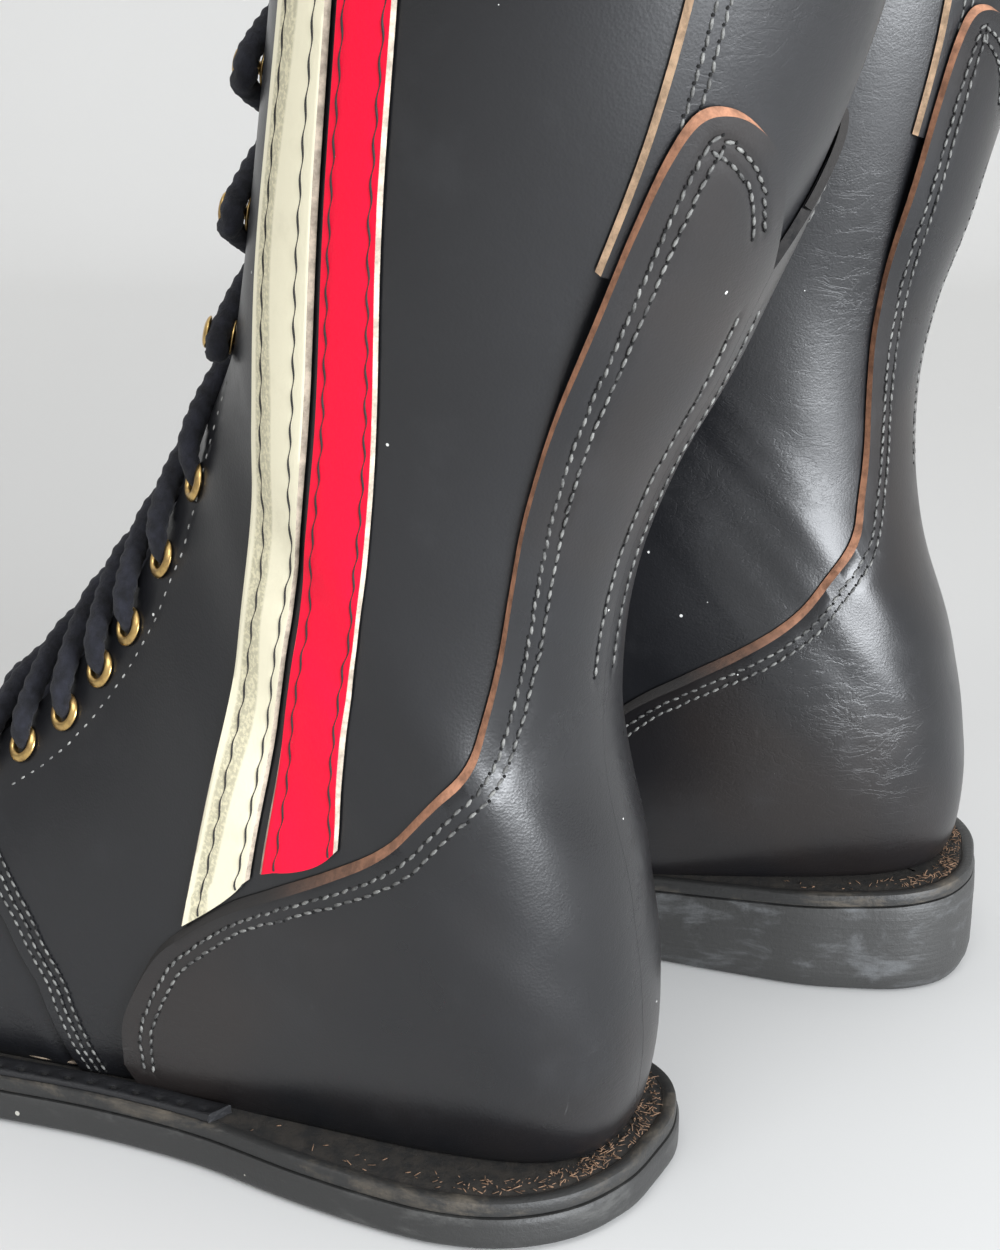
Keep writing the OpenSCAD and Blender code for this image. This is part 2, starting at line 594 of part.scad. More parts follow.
// Drawn level on the floor, and cut off along the slope of the midsole.
module wedge_outsole() color(RUBBER) difference() {
    layer(SOLE_OUTLINE, 0, wedge_heel_h + 5);
    translate([0, 0, wedge_heel_h]) rotate([wedge_slope, 0, 0])
        translate([-boot_width, -1.5 * boot_length, -midsole_t])
            cube([2 * boot_width, 2 * boot_length, 60]);
}

// The welt strip lies round the forefoot on the midsole's rim and stops at the waist. It keeps
// clear of the upper, which bulges out above the feather line.
WELT_END = 96;
WELT_RIM = 0.6;
UPPER_BULGE = 3.6;
module welt() color(RUBBER) difference() {
    layer(moved(SOLE_OUTLINE, -midsole_step - WELT_RIM), 0, welt_t);
    layer(moved(foot_outline(), UPPER_BULGE), -1, welt_t + 1);
    translate([-boot_width, -WELT_END * scale_l, -1])
        cube([2 * boot_width, 2 * boot_length, welt_t + 2]);
}

FLOOR_GAP = 0.2;
module shank_shape(extra, low, high) {
    l = shank_l / 2 - shank_w / 2;
    translate([0, -105 * scale_l, low]) {
        translate([-shank_w / 2 - extra, -l, 0]) cube([shank_w + 2 * extra, 2 * l, high - low]);
        for (s = [-1, 1]) translate([0, s * l, 0])
            cylinder(r = shank_w / 2 + extra, h = high - low, $fn = 48);
    }
}
module shank() color(STEEL) shank_shape(0, FLOOR_GAP, FLOOR_GAP + shank_t);

module filler() color(CORK) difference() {
    layer(moved(foot_outline(), -sole_inset), FLOOR_GAP, FLOOR_GAP + filler_t);
    shank_shape(0.4, -1, FLOOR_GAP + filler_t + 1);
}
insole_z = FLOOR_GAP + filler_t + 0.1;
module insole() color(LINING)
    layer(moved(foot_outline(), -sole_inset), insole_z, insole_z + insole_t);
module sock_liner() color(LINING)
    layer(moved(foot_outline(), -sole_inset - 0.5), insole_z + insole_t + 0.1,
        insole_z + insole_t + 0.1 + sock_t);

// ---------------------------------------------------------------- the two boots on the floor

left_h = outsole_t + midsole_t;

function spin(p, a) = [p.x * cos(a) - p.y * sin(a), p.x * sin(a) + p.y * cos(a)];
function tipped(p) = [p.x, p.y * cos(wedge_slope) - p.z * sin(wedge_slope)];
function right_place(p) = spin([-p.x, p.y], pair_turn) + [-pair_gap, pair_stagger];

// The origin is on the floor under the middle of the pair's outside box, which the soles and
// the top edges of the legs reach.
function top_edge() = [for (u = [0:10:350])
    outer_face(u, TOP_RING) + (layer_gap + cover_t) * outward(u, TOP_RING)];
left_reach = let ($lean = 0) concat(SOLE_OUTLINE, [for (p = top_edge()) [p.x, p.y]]);
right_reach = let ($lean = right_lean) [for (p = concat(SOLE_OUTLINE,
    [for (q = top_edge()) tipped(q)])) right_place(p)];
reach = concat(left_reach, right_reach);
xs = [for (p = reach) p.x];
ys = [for (p = reach) p.y];
origin = [(min(xs) + max(xs)) / 2, (min(ys) + max(ys)) / 2];

module left() {
    $lean = 0;
    translate([-origin.x, -origin.y, left_h]) children();
}
module right_level() {
    $lean = right_lean;
    translate([-pair_gap - origin.x, pair_stagger - origin.y, 0]) rotate([0, 0, pair_turn])
        mirror([1, 0, 0]) children();
}
module right() right_level() {
    $lean = right_lean;
    translate([0, 0, wedge_heel_h]) rotate([wedge_slope, 0, 0]) children();
}

left() flat_outsole();  // left_outsole
left() midsole();  // left_midsole
left() welt();  // left_welt
left() shank();  // left_shank
left() filler();  // left_filler
left() insole();  // left_insole
left() sock_liner();  // left_sock_liner
left() vamp();  // left_vamp
left() vamp_lining();  // left_vamp_lining
left() toe_puff();  // left_toe_puff
left() quarter(1);  // left_quarter_lateral
left() quarter(-1);  // left_quarter_medial
left() lining(1);  // left_lining_lateral
left() lining(-1);  // left_lining_medial
left() heel_cover(1);  // left_heel_cover_lateral
left() heel_cover(-1);  // left_heel_cover_medial
left() heel_stiffener();  // left_heel_stiffener
left() back_strap();  // left_back_strap
left() stay(1);  // left_stay_lateral
left() stay(-1);  // left_stay_medial
left() tongue();  // left_tongue
left() stripe_cream();  // left_stripe_cream
left() stripe_red();  // left_stripe_red
left() top_binding();  // left_top_binding
left() eyelets();  // left_eyelets
left() lace_hooks();  // left_lace_hooks
left() lace();  // left_lace
left() aglets();  // left_aglets
right_level() wedge_outsole();  // right_outsole
right() midsole();  // right_midsole
right() welt();  // right_welt
right() shank();  // right_shank
right() filler();  // right_filler
right() insole();  // right_insole
right() sock_liner();  // right_sock_liner
right() vamp();  // right_vamp
right() vamp_lining();  // right_vamp_lining
right() toe_puff();  // right_toe_puff
right() quarter(1);  // right_quarter_lateral
right() quarter(-1);  // right_quarter_medial
right() lining(1);  // right_lining_lateral
right() lining(-1);  // right_lining_medial
right() heel_cover(1);  // right_heel_cover_lateral
right() heel_cover(-1);  // right_heel_cover_medial
right() heel_stiffener();  // right_heel_stiffener
right() back_strap();  // right_back_strap
right() stay(1);  // right_stay_lateral
right() stay(-1);  // right_stay_medial
right() tongue();  // right_tongue
right() stripe_cream();  // right_stripe_cream
right() stripe_red();  // right_stripe_red
right() top_binding();  // right_top_binding
right() eyelets();  // right_eyelets
right() lace_hooks();  // right_lace_hooks
right() lace();  // right_lace
right() aglets();  // right_aglets
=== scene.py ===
import json
import math

import bpy
import numpy as np
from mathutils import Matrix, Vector

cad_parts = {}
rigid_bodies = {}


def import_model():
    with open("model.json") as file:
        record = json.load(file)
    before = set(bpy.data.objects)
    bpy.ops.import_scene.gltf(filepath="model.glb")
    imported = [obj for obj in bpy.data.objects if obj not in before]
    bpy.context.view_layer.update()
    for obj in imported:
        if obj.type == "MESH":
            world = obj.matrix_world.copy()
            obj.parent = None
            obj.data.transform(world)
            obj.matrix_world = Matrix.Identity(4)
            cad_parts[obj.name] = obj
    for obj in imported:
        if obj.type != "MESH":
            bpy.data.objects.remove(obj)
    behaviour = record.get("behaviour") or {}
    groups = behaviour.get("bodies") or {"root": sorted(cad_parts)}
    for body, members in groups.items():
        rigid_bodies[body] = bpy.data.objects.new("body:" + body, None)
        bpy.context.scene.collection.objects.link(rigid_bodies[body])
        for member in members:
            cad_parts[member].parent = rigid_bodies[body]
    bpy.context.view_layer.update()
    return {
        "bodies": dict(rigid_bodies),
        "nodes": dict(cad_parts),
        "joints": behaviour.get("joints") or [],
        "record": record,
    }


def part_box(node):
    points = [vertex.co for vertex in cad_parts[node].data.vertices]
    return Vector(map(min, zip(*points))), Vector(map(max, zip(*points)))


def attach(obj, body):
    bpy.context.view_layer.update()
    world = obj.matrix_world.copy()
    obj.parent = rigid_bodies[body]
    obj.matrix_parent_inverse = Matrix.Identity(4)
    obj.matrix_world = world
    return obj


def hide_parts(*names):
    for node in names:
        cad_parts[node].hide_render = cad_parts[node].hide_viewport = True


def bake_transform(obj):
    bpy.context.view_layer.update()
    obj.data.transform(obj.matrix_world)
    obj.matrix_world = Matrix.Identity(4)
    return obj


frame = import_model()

bl_info = {
    "name": "Laced Boxing Boots",
    "version": (1, 0, 0),
    "blender": (4, 5, 0),
    "location": "View3D > Sidebar > Boots",
    "description": "Builds a pair of tall laced boxing boots around a fixed model",
    "category": "Add Mesh",
}

# Each boot is worked out in its own frame, in millimetres: x outwards to the little-toe side,
# y towards the heel, z up from the feather line where upper meets sole.
MM = 0.001

# The outer surface is a fan of rings: front or top point [forward, up], back or bottom point
# [forward, up], half widths [outer side, inner side], sideways offset, squareness of the back.
RINGS = np.array([
    [288, 6, 288, 4, 1, 1, -4, 2.0],
    [284, 23, 284, -8, 22, 19, -4, 2.3],
    [273, 35, 273, -14, 36, 33, -3, 2.5],
    [252, 44, 252, -16, 46, 44, -1, 2.6],
    [224, 53, 222, -16, 49, 48, 0, 2.6],
    [198, 68, 190, -16, 47, 47, 0, 2.6],
    [172, 90, 152, -16, 42, 42, 0, 2.6],
    [152, 110, 112, -16, 39, 38, -1, 2.6],
    [136, 130, 72, -16, 39, 39, -3, 2.5],
    [124, 147, 32, -10, 41, 41, -4, 2.4],
    [116, 160, 10, 0, 41, 41, -4, 2.3],
    [109, 172, 4, 26, 41, 40, -3, 2.3],
    [102, 185, 6, 60, 40, 39, -2, 2.2],
    [97, 197, 14, 100, 41, 40, -1, 2.1],
    [91, 218, 9, 142, 44, 42, 0, 2.1],
    [86, 242, -10, 186, 49, 47, 0, 2.1],
    [81, 268, -30, 230, 54, 51, 0, 2.1],
    [77, 296, -43, 274, 57, 54, 0, 2.1],
    [74, 330, -49, 322, 58, 55, 0, 2.1]])
TOP_RING = len(RINGS) - 1
FRONT_SQUARENESS = 2.1
HEEL_RING = 10
LEAN_START = 95
LEAN_BLEND = 30
RIGHT_LEAN = 9

# Half the angle of the open front, and the places of eyelets and hooks [angle, ring].
FRONT_EDGE = np.array([[6, 36], [7.3, 36], [8, 32], [9, 26], [10.3, 21], [12.5, 13], [18, 11]])
EYELETS = [(46, 6.1), (47, 6.62), (47, 7.2), (44, 7.74), (41, 8.26), (35, 9.05), (31, 10.3)]
HOOKS = [(23, 12.5), (23, 13.95), (22, 15.15), (21, 16.25), (20, 17.2)]
BAR_RING = 6.12
KNOT_RING = 17.62
SEAM_RING = 6.42
SEAM_DROP = 0.75
BINDING_H = 5
TOP_RISE = 33
BINDING_RING = TOP_RING - BINDING_H / TOP_RISE

# Edge of the heel cover [angle, ring], from the sole at the side up to the back seam.
COVER_EDGE = np.array([
    [121, 6.9], [107, 7.1], [97, 7.5], [93, 7.95], [91, 8.75], [93, 10.05], [102, 11.2],
    [113, 12], [130, 12.75], [138, 13.3], [140, 13.75], [139, 14.25], [137, 14.8], [137, 15.25],
    [137, 15.6], [138, 15.9], [141, 16.1], [147, 16.15], [155, 16.1], [164, 15.97],
    [172, 15.75]])
# The points under it along the sole and the back seam; 0 stands for the feather line's angle.
COVER_FOOT = np.array([
    [0, 6.9], [0, 7.2], [0, 7.5], [0, 7.85], [0, 8.2], [0, 8.6], [0, 9], [0, 9.4], [0, 9.7],
    [0, 9.9], [180, 10], [180, 10.9], [180, 11.7], [180, 12.5], [180, 13.3], [180, 14],
    [180, 14.6], [180, 15], [180, 15.25], [180, 15.4], [180, 15.5]])
STRAP_EDGE = 134
STRAP_RING = 15.35

# Edges of the stripes seen from the side [forward, up], from the heel cover to the top.
CREAM_FRONT = [[103, 50], [89, 103], [84, 128], [78, 170], [73, 209], [62, 257], [49, 318]]
CREAM_BACK = [[82, 67], [72, 112], [65, 146], [58, 180], [51, 222], [45, 257], [35, 318]]
RED_FRONT = [[79, 69], [70, 112], [63, 146], [56, 180], [49, 222], [43, 257], [33, 318]]
RED_BACK = [[58, 79], [53, 115], [47, 146], [41, 181], [35, 222], [29, 257], [19, 318]]
# First guess of the ring at a height on the outer side [height, ring].
RING_AT_HEIGHT = np.array([
    [40, 7.3], [57, 8], [68, 9], [80, 10], [99, 11], [122, 12], [148, 13], [180, 14],
    [214, 15], [249, 16], [285, 17], [326, 18]])

# Outline of the sole from above [sideways, forward], from the heel round the outer side.
SOLE = np.array([
    [-6, -2], [8, -1], [23, 5], [34, 16], [40, 30], [42, 46], [42, 70], [40, 100], [42, 130],
    [47, 160], [51, 190], [52, 220], [49, 250], [43, 271], [28, 286], [-2, 294], [-32, 286],
    [-45, 270], [-50, 250], [-50, 220], [-49, 190], [-44, 160], [-40, 130], [-38, 100],
    [-42, 70], [-45, 46], [-44, 30], [-41, 16], [-33, 5], [-20, -1]], float)

# How the two boots stand: the right one behind and turned towards the left one.
PAIR_GAP = 172
PAIR_STAGGER = 31
PAIR_TURN = math.radians(14.5)
WEDGE_H = 32
WEDGE_SLOPE = math.radians(3.5)
MIDSOLE_T = 4
MIDSOLE_STEP = 1
# Heights of the leather's slow unevenness and of the folds at the ankle.
RELIEF = 0.26
FOLD_DEPTH = 0.1

# How far the seam over the vamp drops towards the sole: the angles between which it does, and
# the rings where the drop has died out in the vamp and in the quarters.
SEAM_DROP_FROM = 36
SEAM_DROP_TO = 100
VAMP_DROP_RING = 3.8
QUARTER_DROP_RING = 8.1
# The quarters bulge over the edge of the vamp: height, and rings over which it fades.
LAP_LIFT = 0.9
LAP_FADE = 0.2
# How far round each piece reaches, in degrees; 180 is the back seam.
VAMP_REACH = 178
QUARTER_REACH = 179.65
COVER_REACH = 179.96
ROW_REACH = 176
# Widths of linings and stays behind the front edge, which narrow up to this ring.
LINING_WIDTH = 29
STAY_WIDTH = 27
NARROWED_RING = 12
# Distances of the stitch rows from the edges beside them.
LAP_ROWS = (3.0, 5.2, 7.6)
COVER_ROWS = (5.4, 8.2)
STRAP_ROWS = (5.2, 7.7)
ROW_PITCH = 2.9
LACE_STRANDS = 3
PANEL_TOP = BINDING_RING - 0.4 / TOP_RISE
VAMP_UNDERLAP = 0.14
# Width of the slanted cut edge of the heel covers.
CUT_WIDTH = 1.4

# Heights of the inner layers over the outer surface, and their thicknesses.
LINING_TOP = -4.3
LINING_T = 0.8
STAY_TOP = -2.3
STAY_T = 1.5
TONGUE_TOP = -7.7
TONGUE_T = 1.8
LACE_UNDER = -5.8
# The stitch row beside the lacing [angle, ring].
FACING_ROW = np.array([[26, 11.9], [31, 10.9], [36, 9.95], [39, 9.6], [41, 9.2], [45, 8.73],
                       [50, 8.06], [54, 7.42], [56, 6.9], [56.5, 6.45]])
# Name, front edge, back edge, places of the two seams across it, finish.
STRIPES = (
    ("cream", CREAM_FRONT, CREAM_BACK, (0.25, 0.8), "cream"),
    ("red", RED_FRONT, RED_BACK, (0.17, 0.86), "red"))
# Two points of the boot's own frame at the tongue's fold; they are turned into world points, but
# nothing bends the tongue.
TONGUE_FOLD = ((0, -184, 68.5), (0, -171, 79.5))
# Profile of the outsole's edge, from below: [outwards, share of the height].
OUTSOLE_EDGE = ((-30, 0.0), (-5, 0.0), (-1.8, 0.02), (-0.5, 0.12), (0.0, 0.22), (0.1, 0.4),
                (0.05, 0.6), (0.1, 0.8), (0.0, 0.92), (-0.5, 1.0), (-6, 1.0), (-30, 1.0))
# Profile of the midsole's edge, from below: [outwards, height, unevenness].
MIDSOLE_EDGE = ((-30, -4.0, 0), (-3, -4.0, 0), (-0.5, -3.9, 0), (0.2, -3.4, 0.03),
                (0.35, -2.4, 0.05), (0.3, -1.2, 0.05), (0.0, -0.3, 0.05), (-0.6, 0.05, 0.05),
                (-1.6, 0.1, 0.06), (-2.6, 0.05, 0.06), (-3.1, -0.25, 0.12), (-3.8, -0.2, 0.3),
                (-4.8, 0.05, 0.35), (-6.0, 0.15, 0.35), (-7.4, 0.25, 0.3), (-9.0, 0.3, 0.25),
                (-12, 0.1, 0.1), (-30, -0.2, 0))
# The row of that profile where the rough rim starts.
ROUGH_FROM = 10

WELT_END = 96
PIT_PITCH = 6.5
# Cross-section of the welt: [distance inwards from its outer edge, height].
WELT_PROFILE = ((0.3, 0.0), (0.0, 0.5), (0.1, 1.0), (0.6, 1.45), (1.2, 1.6), (1.8, 1.6),
                (2.4, 1.6), (3.0, 1.6), (3.8, 1.62), (4.8, 1.7), (6.0, 1.75), (6.6, 1.3),
                (6.6, 0.0))

# Profiles of the turned fittings [radius, height].
EYELET_PROFILE = (
    (2.45, -4.5), (2.45, 0.5), (2.6, 1.0), (2.95, 1.3), (3.4, 1.38), (3.9, 1.2), (4.4, 0.85),
    (4.7, 0.5), (4.75, 0.25), (4.6, 0.12), (3.2, 0.2), (3.05, 0.0), (3.05, -4.5), (2.45, -4.5))
HOOK_PROFILE = (
    (0, -4.6), (2.2, -4.6), (2.2, -4.1), (1.4, -4.0), (1.4, 0.15), (3.9, 0.2), (4.0, 0.45),
    (3.6, 0.75), (1.9, 1.0), (1.4, 1.5), (1.35, 4.9), (1.7, 5.5), (3.3, 5.75), (3.65, 5.95),
    (3.6, 6.25), (3.1, 6.65), (2.2, 6.95), (1.1, 7.08), (0, 7.1))

# Place and direction of the camera, in metres.
CAMERA_AT = (0.4436, 0.2785, 0.263)
CAMERA_LOOKS = (-0.8444, -0.4485, -0.2924)
# Name, place, what it points at, size, watts, tint.
LIGHTS = (
    ("Window", (0.5, 1.3, 0.36), (-0.03, 0.0, 0.12), (0.8, 0.6), 36, (0.92, 0.955, 1.0)),
    ("Ceiling", (1.0, 0.0, 1.35), (0.0, 0.0, 0.15), (0.7, 0.7), 6, (0.96, 0.98, 1.0)))
# The room is brighter on the side that this points to.
ROOM_BRIGHT_SIDE = (0.1, 0.95, 0.3)
ROOM_DIM = (0.4, 0.4, 0.4, 1)
ROOM_LOW = (0.72, 0.72, 0.71, 1)
ROOM_HIGH = (1.0, 1.0, 1.0, 1)
ROOM_STRENGTH = 0.92


# ------------------------------------------------------------------ settings

class BootSizes(bpy.types.PropertyGroup):
    leather: bpy.props.FloatProperty(
        name="Leather", description="Thickness of the outer leather",
        default=1.8 * MM, unit="LENGTH", min=0.001, max=0.003)
    cover: bpy.props.FloatProperty(
        name="Covers", description="Thickness of the heel covers and back strap",
        default=1.8 * MM, unit="LENGTH", min=0.001, max=0.003)
    stripe: bpy.props.FloatProperty(
        name="Stripes", description="Thickness of the side stripes",
        default=1.2 * MM, unit="LENGTH", min=0.0005, max=0.002)
    thread: bpy.props.FloatProperty(
        name="Thread", description="Diameter of the sewing thread",
        default=0.75 * MM, unit="LENGTH", min=0.0003, max=0.0015)
    lace: bpy.props.FloatProperty(
        name="Lace", description="Diameter of the lace",
        default=6 * MM, unit="LENGTH", min=0.003, max=0.007)


class BootColours(bpy.types.PropertyGroup):
    black: bpy.props.FloatVectorProperty(
        name="Black leather", description="Colour of the upper", subtype="COLOR", size=4,
        default=(0.0048, 0.005, 0.006, 1), min=0, max=1)
    tan: bpy.props.FloatVectorProperty(
        name="Cut edge", description="Colour of the raw edge of the leather", subtype="COLOR",
        size=4, default=(0.42, 0.2, 0.115, 1), min=0, max=1)
    cream: bpy.props.FloatVectorProperty(
        name="Cream stripe", description="Colour of the front stripe", subtype="COLOR",
        size=4, default=(0.72, 0.67, 0.48, 1), min=0, max=1)
    red: bpy.props.FloatVectorProperty(
        name="Red stripe", description="Colour of the rear stripe", subtype="COLOR",
        size=4, default=(0.84, 0.002, 0.035, 1), min=0, max=1)
    rubber: bpy.props.FloatVectorProperty(
        name="Rubber", description="Colour of the soles", subtype="COLOR",
        size=4, default=(0.026, 0.026, 0.0255, 1), min=0, max=1)
    brass: bpy.props.FloatVectorProperty(
        name="Brass", description="Colour of the eyelets and hooks", subtype="COLOR",
        size=4, default=(0.62, 0.42, 0.16, 1), min=0, max=1)


class StageSettings(bpy.types.PropertyGroup):
    floor: bpy.props.FloatVectorProperty(
        name="Floor", description="Colour of the floor and backdrop", subtype="COLOR",
        size=4, default=(0.61, 0.61, 0.603, 1), min=0, max=1)
    lens: bpy.props.FloatProperty(
        name="Lens", description="Focal length in millimetres", default=55.44, min=20, max=150)


def sizes():
    return bpy.context.scene.boot_sizes


def colours():
    return bpy.context.scene.boot_colours


# ------------------------------------------------------------------ shape of the upper

def catmull(a, b, c, d, t):
    """Point between b and c on a smooth curve through a, b, c and d."""
    return 0.5 * (2 * b + (c - a) * t + (2 * a - 5 * b + 4 * c - d) * t * t
                  + (3 * b - a - 3 * c + d) * t * t * t)


def along(points, t, closed=False):
    """Points on the smooth curve through all the given ones; t runs from 0 to 1."""
    points = np.asarray(points, float)
    n = len(points) if closed else len(points) - 1
    x = np.clip(np.asarray(t, float), 0, 1) * n
    i = np.minimum(np.floor(x).astype(int), n - 1)
    f = (x - i)[:, None]

    def pick(k):
        return points[k % n] if closed else points[np.clip(k, 0, n)]
    return catmull(pick(i - 1), pick(i), pick(i + 1), pick(i + 2), f)


def ring(v):
    return along(RINGS, np.asarray(v, float) / TOP_RING)


def power(x, n):
    return np.sign(x) * np.abs(x) ** n


def feather(v):
    """Angle at which a ring meets the feather line."""
    v = np.atleast_1d(np.asarray(v, float))
    r = ring(v)
    mid, half = (r[:, 1] + r[:, 3]) / 2, (r[:, 1] - r[:, 3]) / 2
    angle = np.degrees(np.arccos(-np.minimum(np.maximum(mid / half, 0), 1) ** (r[:, 7] / 2)))
    return np.where((v >= HEEL_RING) | (r[:, 3] >= 0), 180.0, angle)


class Boot:
    """One boot: its side, the lean of its leg, and the way from its own frame to the world."""

    def __init__(self, side, lean):
        self.side = side
        self.body = side + "_boot"
        self.lean = math.tan(math.radians(lean))
        self.rng = np.random.default_rng(11 if side == "left" else 12)

    def face(self, u, v):
        """Points of the outer surface at angles u from the front, 90 outwards, and rings v."""
        u, v = np.broadcast_arrays(np.asarray(u, float), np.asarray(v, float))
        r = ring(v.ravel())
        a = np.radians(u.ravel())
        n = np.where(np.cos(a) < 0, r[:, 7], FRONT_SQUARENESS)
        x, y = power(np.cos(a), 2 / n), power(np.sin(a), 2 / n)
        up = (r[:, 1] + r[:, 3]) / 2 + x * (r[:, 1] - r[:, 3]) / 2
        rise = up - LEAN_START
        shift = self.lean * (np.sqrt(rise * rise + LEAN_BLEND ** 2) + rise) / 2
        fore = (r[:, 0] + r[:, 2]) / 2 + x * (r[:, 0] - r[:, 2]) / 2 + shift
        across = r[:, 6] + y * np.where(np.sin(a) > 0, r[:, 4], r[:, 5])
        return np.stack([across, -fore, up], 1)

    def outward(self, u, v):
        u, v = np.broadcast_arrays(np.asarray(u, float), np.asarray(v, float))
        u, v = u.ravel(), v.ravel()
        step = 0.04
        du = self.face(u + 1.5, v) - self.face(u - 1.5, v)
        dv = (self.face(u, np.minimum(v + step, TOP_RING))
              - self.face(u, np.maximum(v - step, 0)))
        n = np.cross(du, dv)
        return n / np.maximum(np.linalg.norm(n, axis=1, keepdims=True), 1e-9)

    def relief(self, u, v):
        """Soft unevenness of worn leather, in millimetres, fading out at lacing and sole."""
        a = np.radians((np.asarray(u, float).ravel() + 180) % 360 - 180)
        v = np.asarray(v, float).ravel()
        c, s = np.cos(a), np.sin(a)
        away = np.clip((np.degrees(np.abs(a)) - 62) / 30, 0, 1) * np.clip((v - 8) / 3, 0, 1)
        away = away * np.clip((17.8 - v) / 1.5, 0, 1)
        slow = np.sin(2.1 * v + 2.5 * c + 1.5 * s) + 0.7 * np.sin(3.3 * v - 3 * c + 2 * s + 1)
        ankle = np.exp(-((v - 11.7) / 1.5) ** 2)
        folds = np.sin(9.5 * v + 2.2 * np.sin(2 * a) + 2 * c)
        return away * (RELIEF * slow + FOLD_DEPTH * ankle * folds)

    def skin(self, u, v, h):
        """Points at heights h over the surface, never under the feather line."""
        u, v = np.broadcast_arrays(np.asarray(u, float), np.asarray(v, float))
        lift = np.asarray(h, float)
        lift = lift.ravel() if lift.ndim else lift
        lift = np.broadcast_to(lift, u.size) + self.relief(u, v)
        p = self.face(u, v) + lift[:, None] * self.outward(u, v)
        p[:, 2] = np.maximum(p[:, 2], 0.02)
        return p

    def above(self, rows):
        """Points at rows of [angle, ring, height], clear of the leather's unevenness."""
        u, v = rows[:, 0], rows[:, 1]
        return self.face(u, v) + rows[:, 2:3] * self.outward(u, v)

    def world(self, p):
        """From the boot's own frame to metres on the floor."""
        p = np.array(p, float)
        if self.side == "left":
            return (p + [-ORIGIN[0], -ORIGIN[1], LEFT_H]) * MM
        c, s = math.cos(WEDGE_SLOPE), math.sin(WEDGE_SLOPE)
        tipped = [p[:, 0], p[:, 1] * c - p[:, 2] * s, p[:, 1] * s + p[:, 2] * c + WEDGE_H]
        return self.level(np.stack(tipped, 1))

    def level(self, p):
        """The same, for what lies level on the floor and isn't tipped by the wedge."""
        p = np.array(p, float)
        if self.side == "left":
            return (p + [-ORIGIN[0], -ORIGIN[1], 0]) * MM
        c, s = math.cos(PAIR_TURN), math.sin(PAIR_TURN)
        x, y = -p[:, 0], p[:, 1]
        return np.stack([x * c - y * s - PAIR_GAP - ORIGIN[0],
                         x * s + y * c + PAIR_STAGGER - ORIGIN[1], p[:, 2]], 1) * MM

    def on_side(self, fore, up):
        """Angle and ring of points on the outer side, seen from the side, by Newton's steps."""
        fore, up = np.asarray(fore, float), np.asarray(up, float)
        rise = up - LEAN_START
        fore = fore + self.lean * (np.sqrt(rise * rise + LEAN_BLEND ** 2) + rise) / 2
        u = np.full(len(up), 90.5)
        v = np.interp(up, RING_AT_HEIGHT[:, 0], RING_AT_HEIGHT[:, 1])

        def error(u, v):
            p = self.face(u, v)
            return np.stack([-p[:, 1] - fore, p[:, 2] - up], 1)
        for _ in range(8):
            e = error(u, v)
            eu = error(u + 1, v) - e
            ev = (error(u, v - 0.02) - e) / -0.02
            det = eu[:, 0] * ev[:, 1] - eu[:, 1] * ev[:, 0]
            u = u + (-e[:, 0] * ev[:, 1] + e[:, 1] * ev[:, 0]) / det
            v = np.minimum(v + (-eu[:, 0] * e[:, 1] + eu[:, 1] * e[:, 0]) / det, TOP_RING)
        return np.stack([u, v], 1)

    def inset(self, path, distance):
        """The path [angle, ring] moved sideways on the surface, to the left of its direction
        seen from outside if distance is above 0, in millimetres."""
        u, v = path[:, 0], path[:, 1]
        p = self.face(u, v)
        tangent = np.gradient(p, axis=0)
        tangent /= np.maximum(np.linalg.norm(tangent, axis=1, keepdims=True), 1e-9)
        side = np.cross(self.outward(u, v), tangent)
        move = side * distance
        su = (self.face(u + 0.5, v) - self.face(u - 0.5, v))
        sv = (self.face(u, np.minimum(v + 0.02, TOP_RING)) - self.face(u, v - 0.02)) / 0.04
        a, b, c = (su * su).sum(1), (su * sv).sum(1), (sv * sv).sum(1)
        d, e = (su * move).sum(1), (sv * move).sum(1)
        det = np.maximum(a * c - b * b, 1e-9)
        return np.stack([u + (d * c - e * b) / det, v + (e * a - d * b) / det], 1)


def sole_outline(grow=0.0, steps=8):
    """The sole's outline from above, in the boot's frame, moved outwards by grow."""
    n = len(SOLE)
    p = along(SOLE, np.arange(n * steps) / (n * steps), closed=True)
    p = np.stack([p[:, 0], -p[:, 1]], 1)
    t = np.roll(p, -1, 0) - np.roll(p, 1, 0)
    t /= np.linalg.norm(t, axis=1, keepdims=True)
    return p + grow * np.stack([-t[:, 1], t[:, 0]], 1)


LEFT_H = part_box("left_midsole")[1].z / MM
SOLE_LOW = sole_outline(steps=3).min(0)
ORIGIN = (SOLE_LOW[0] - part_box("left_outsole")[0].x / MM,
          SOLE_LOW[1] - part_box("left_outsole")[0].y / MM)
BOOTS = [Boot("left", 0), Boot("right", RIGHT_LEAN)]


# ------------------------------------------------------------------ mesh helpers

def deselect():
    if bpy.context.object and bpy.context.object.mode != "OBJECT":
        bpy.ops.object.mode_set(mode="OBJECT")
    bpy.ops.object.select_all(action="DESELECT")


def make_active(piece):
    deselect()
    piece.select_set(True)
    bpy.context.view_layer.objects.active = piece


def apply_modifiers(piece):
    make_active(piece)
    for modifier in list(piece.modifiers):
        bpy.ops.object.modifier_apply(modifier=modifier.name)


def smooth(piece, angle=50):
    make_active(piece)
    bpy.ops.object.shade_smooth_by_angle(angle=math.radians(angle))


def give(piece, body, replaces=()):
    """Settles what a finished piece rides on, and the CAD nodes it stands for, which it hides."""
    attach(piece, body)
    if replaces:
        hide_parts(*replaces)
    return piece


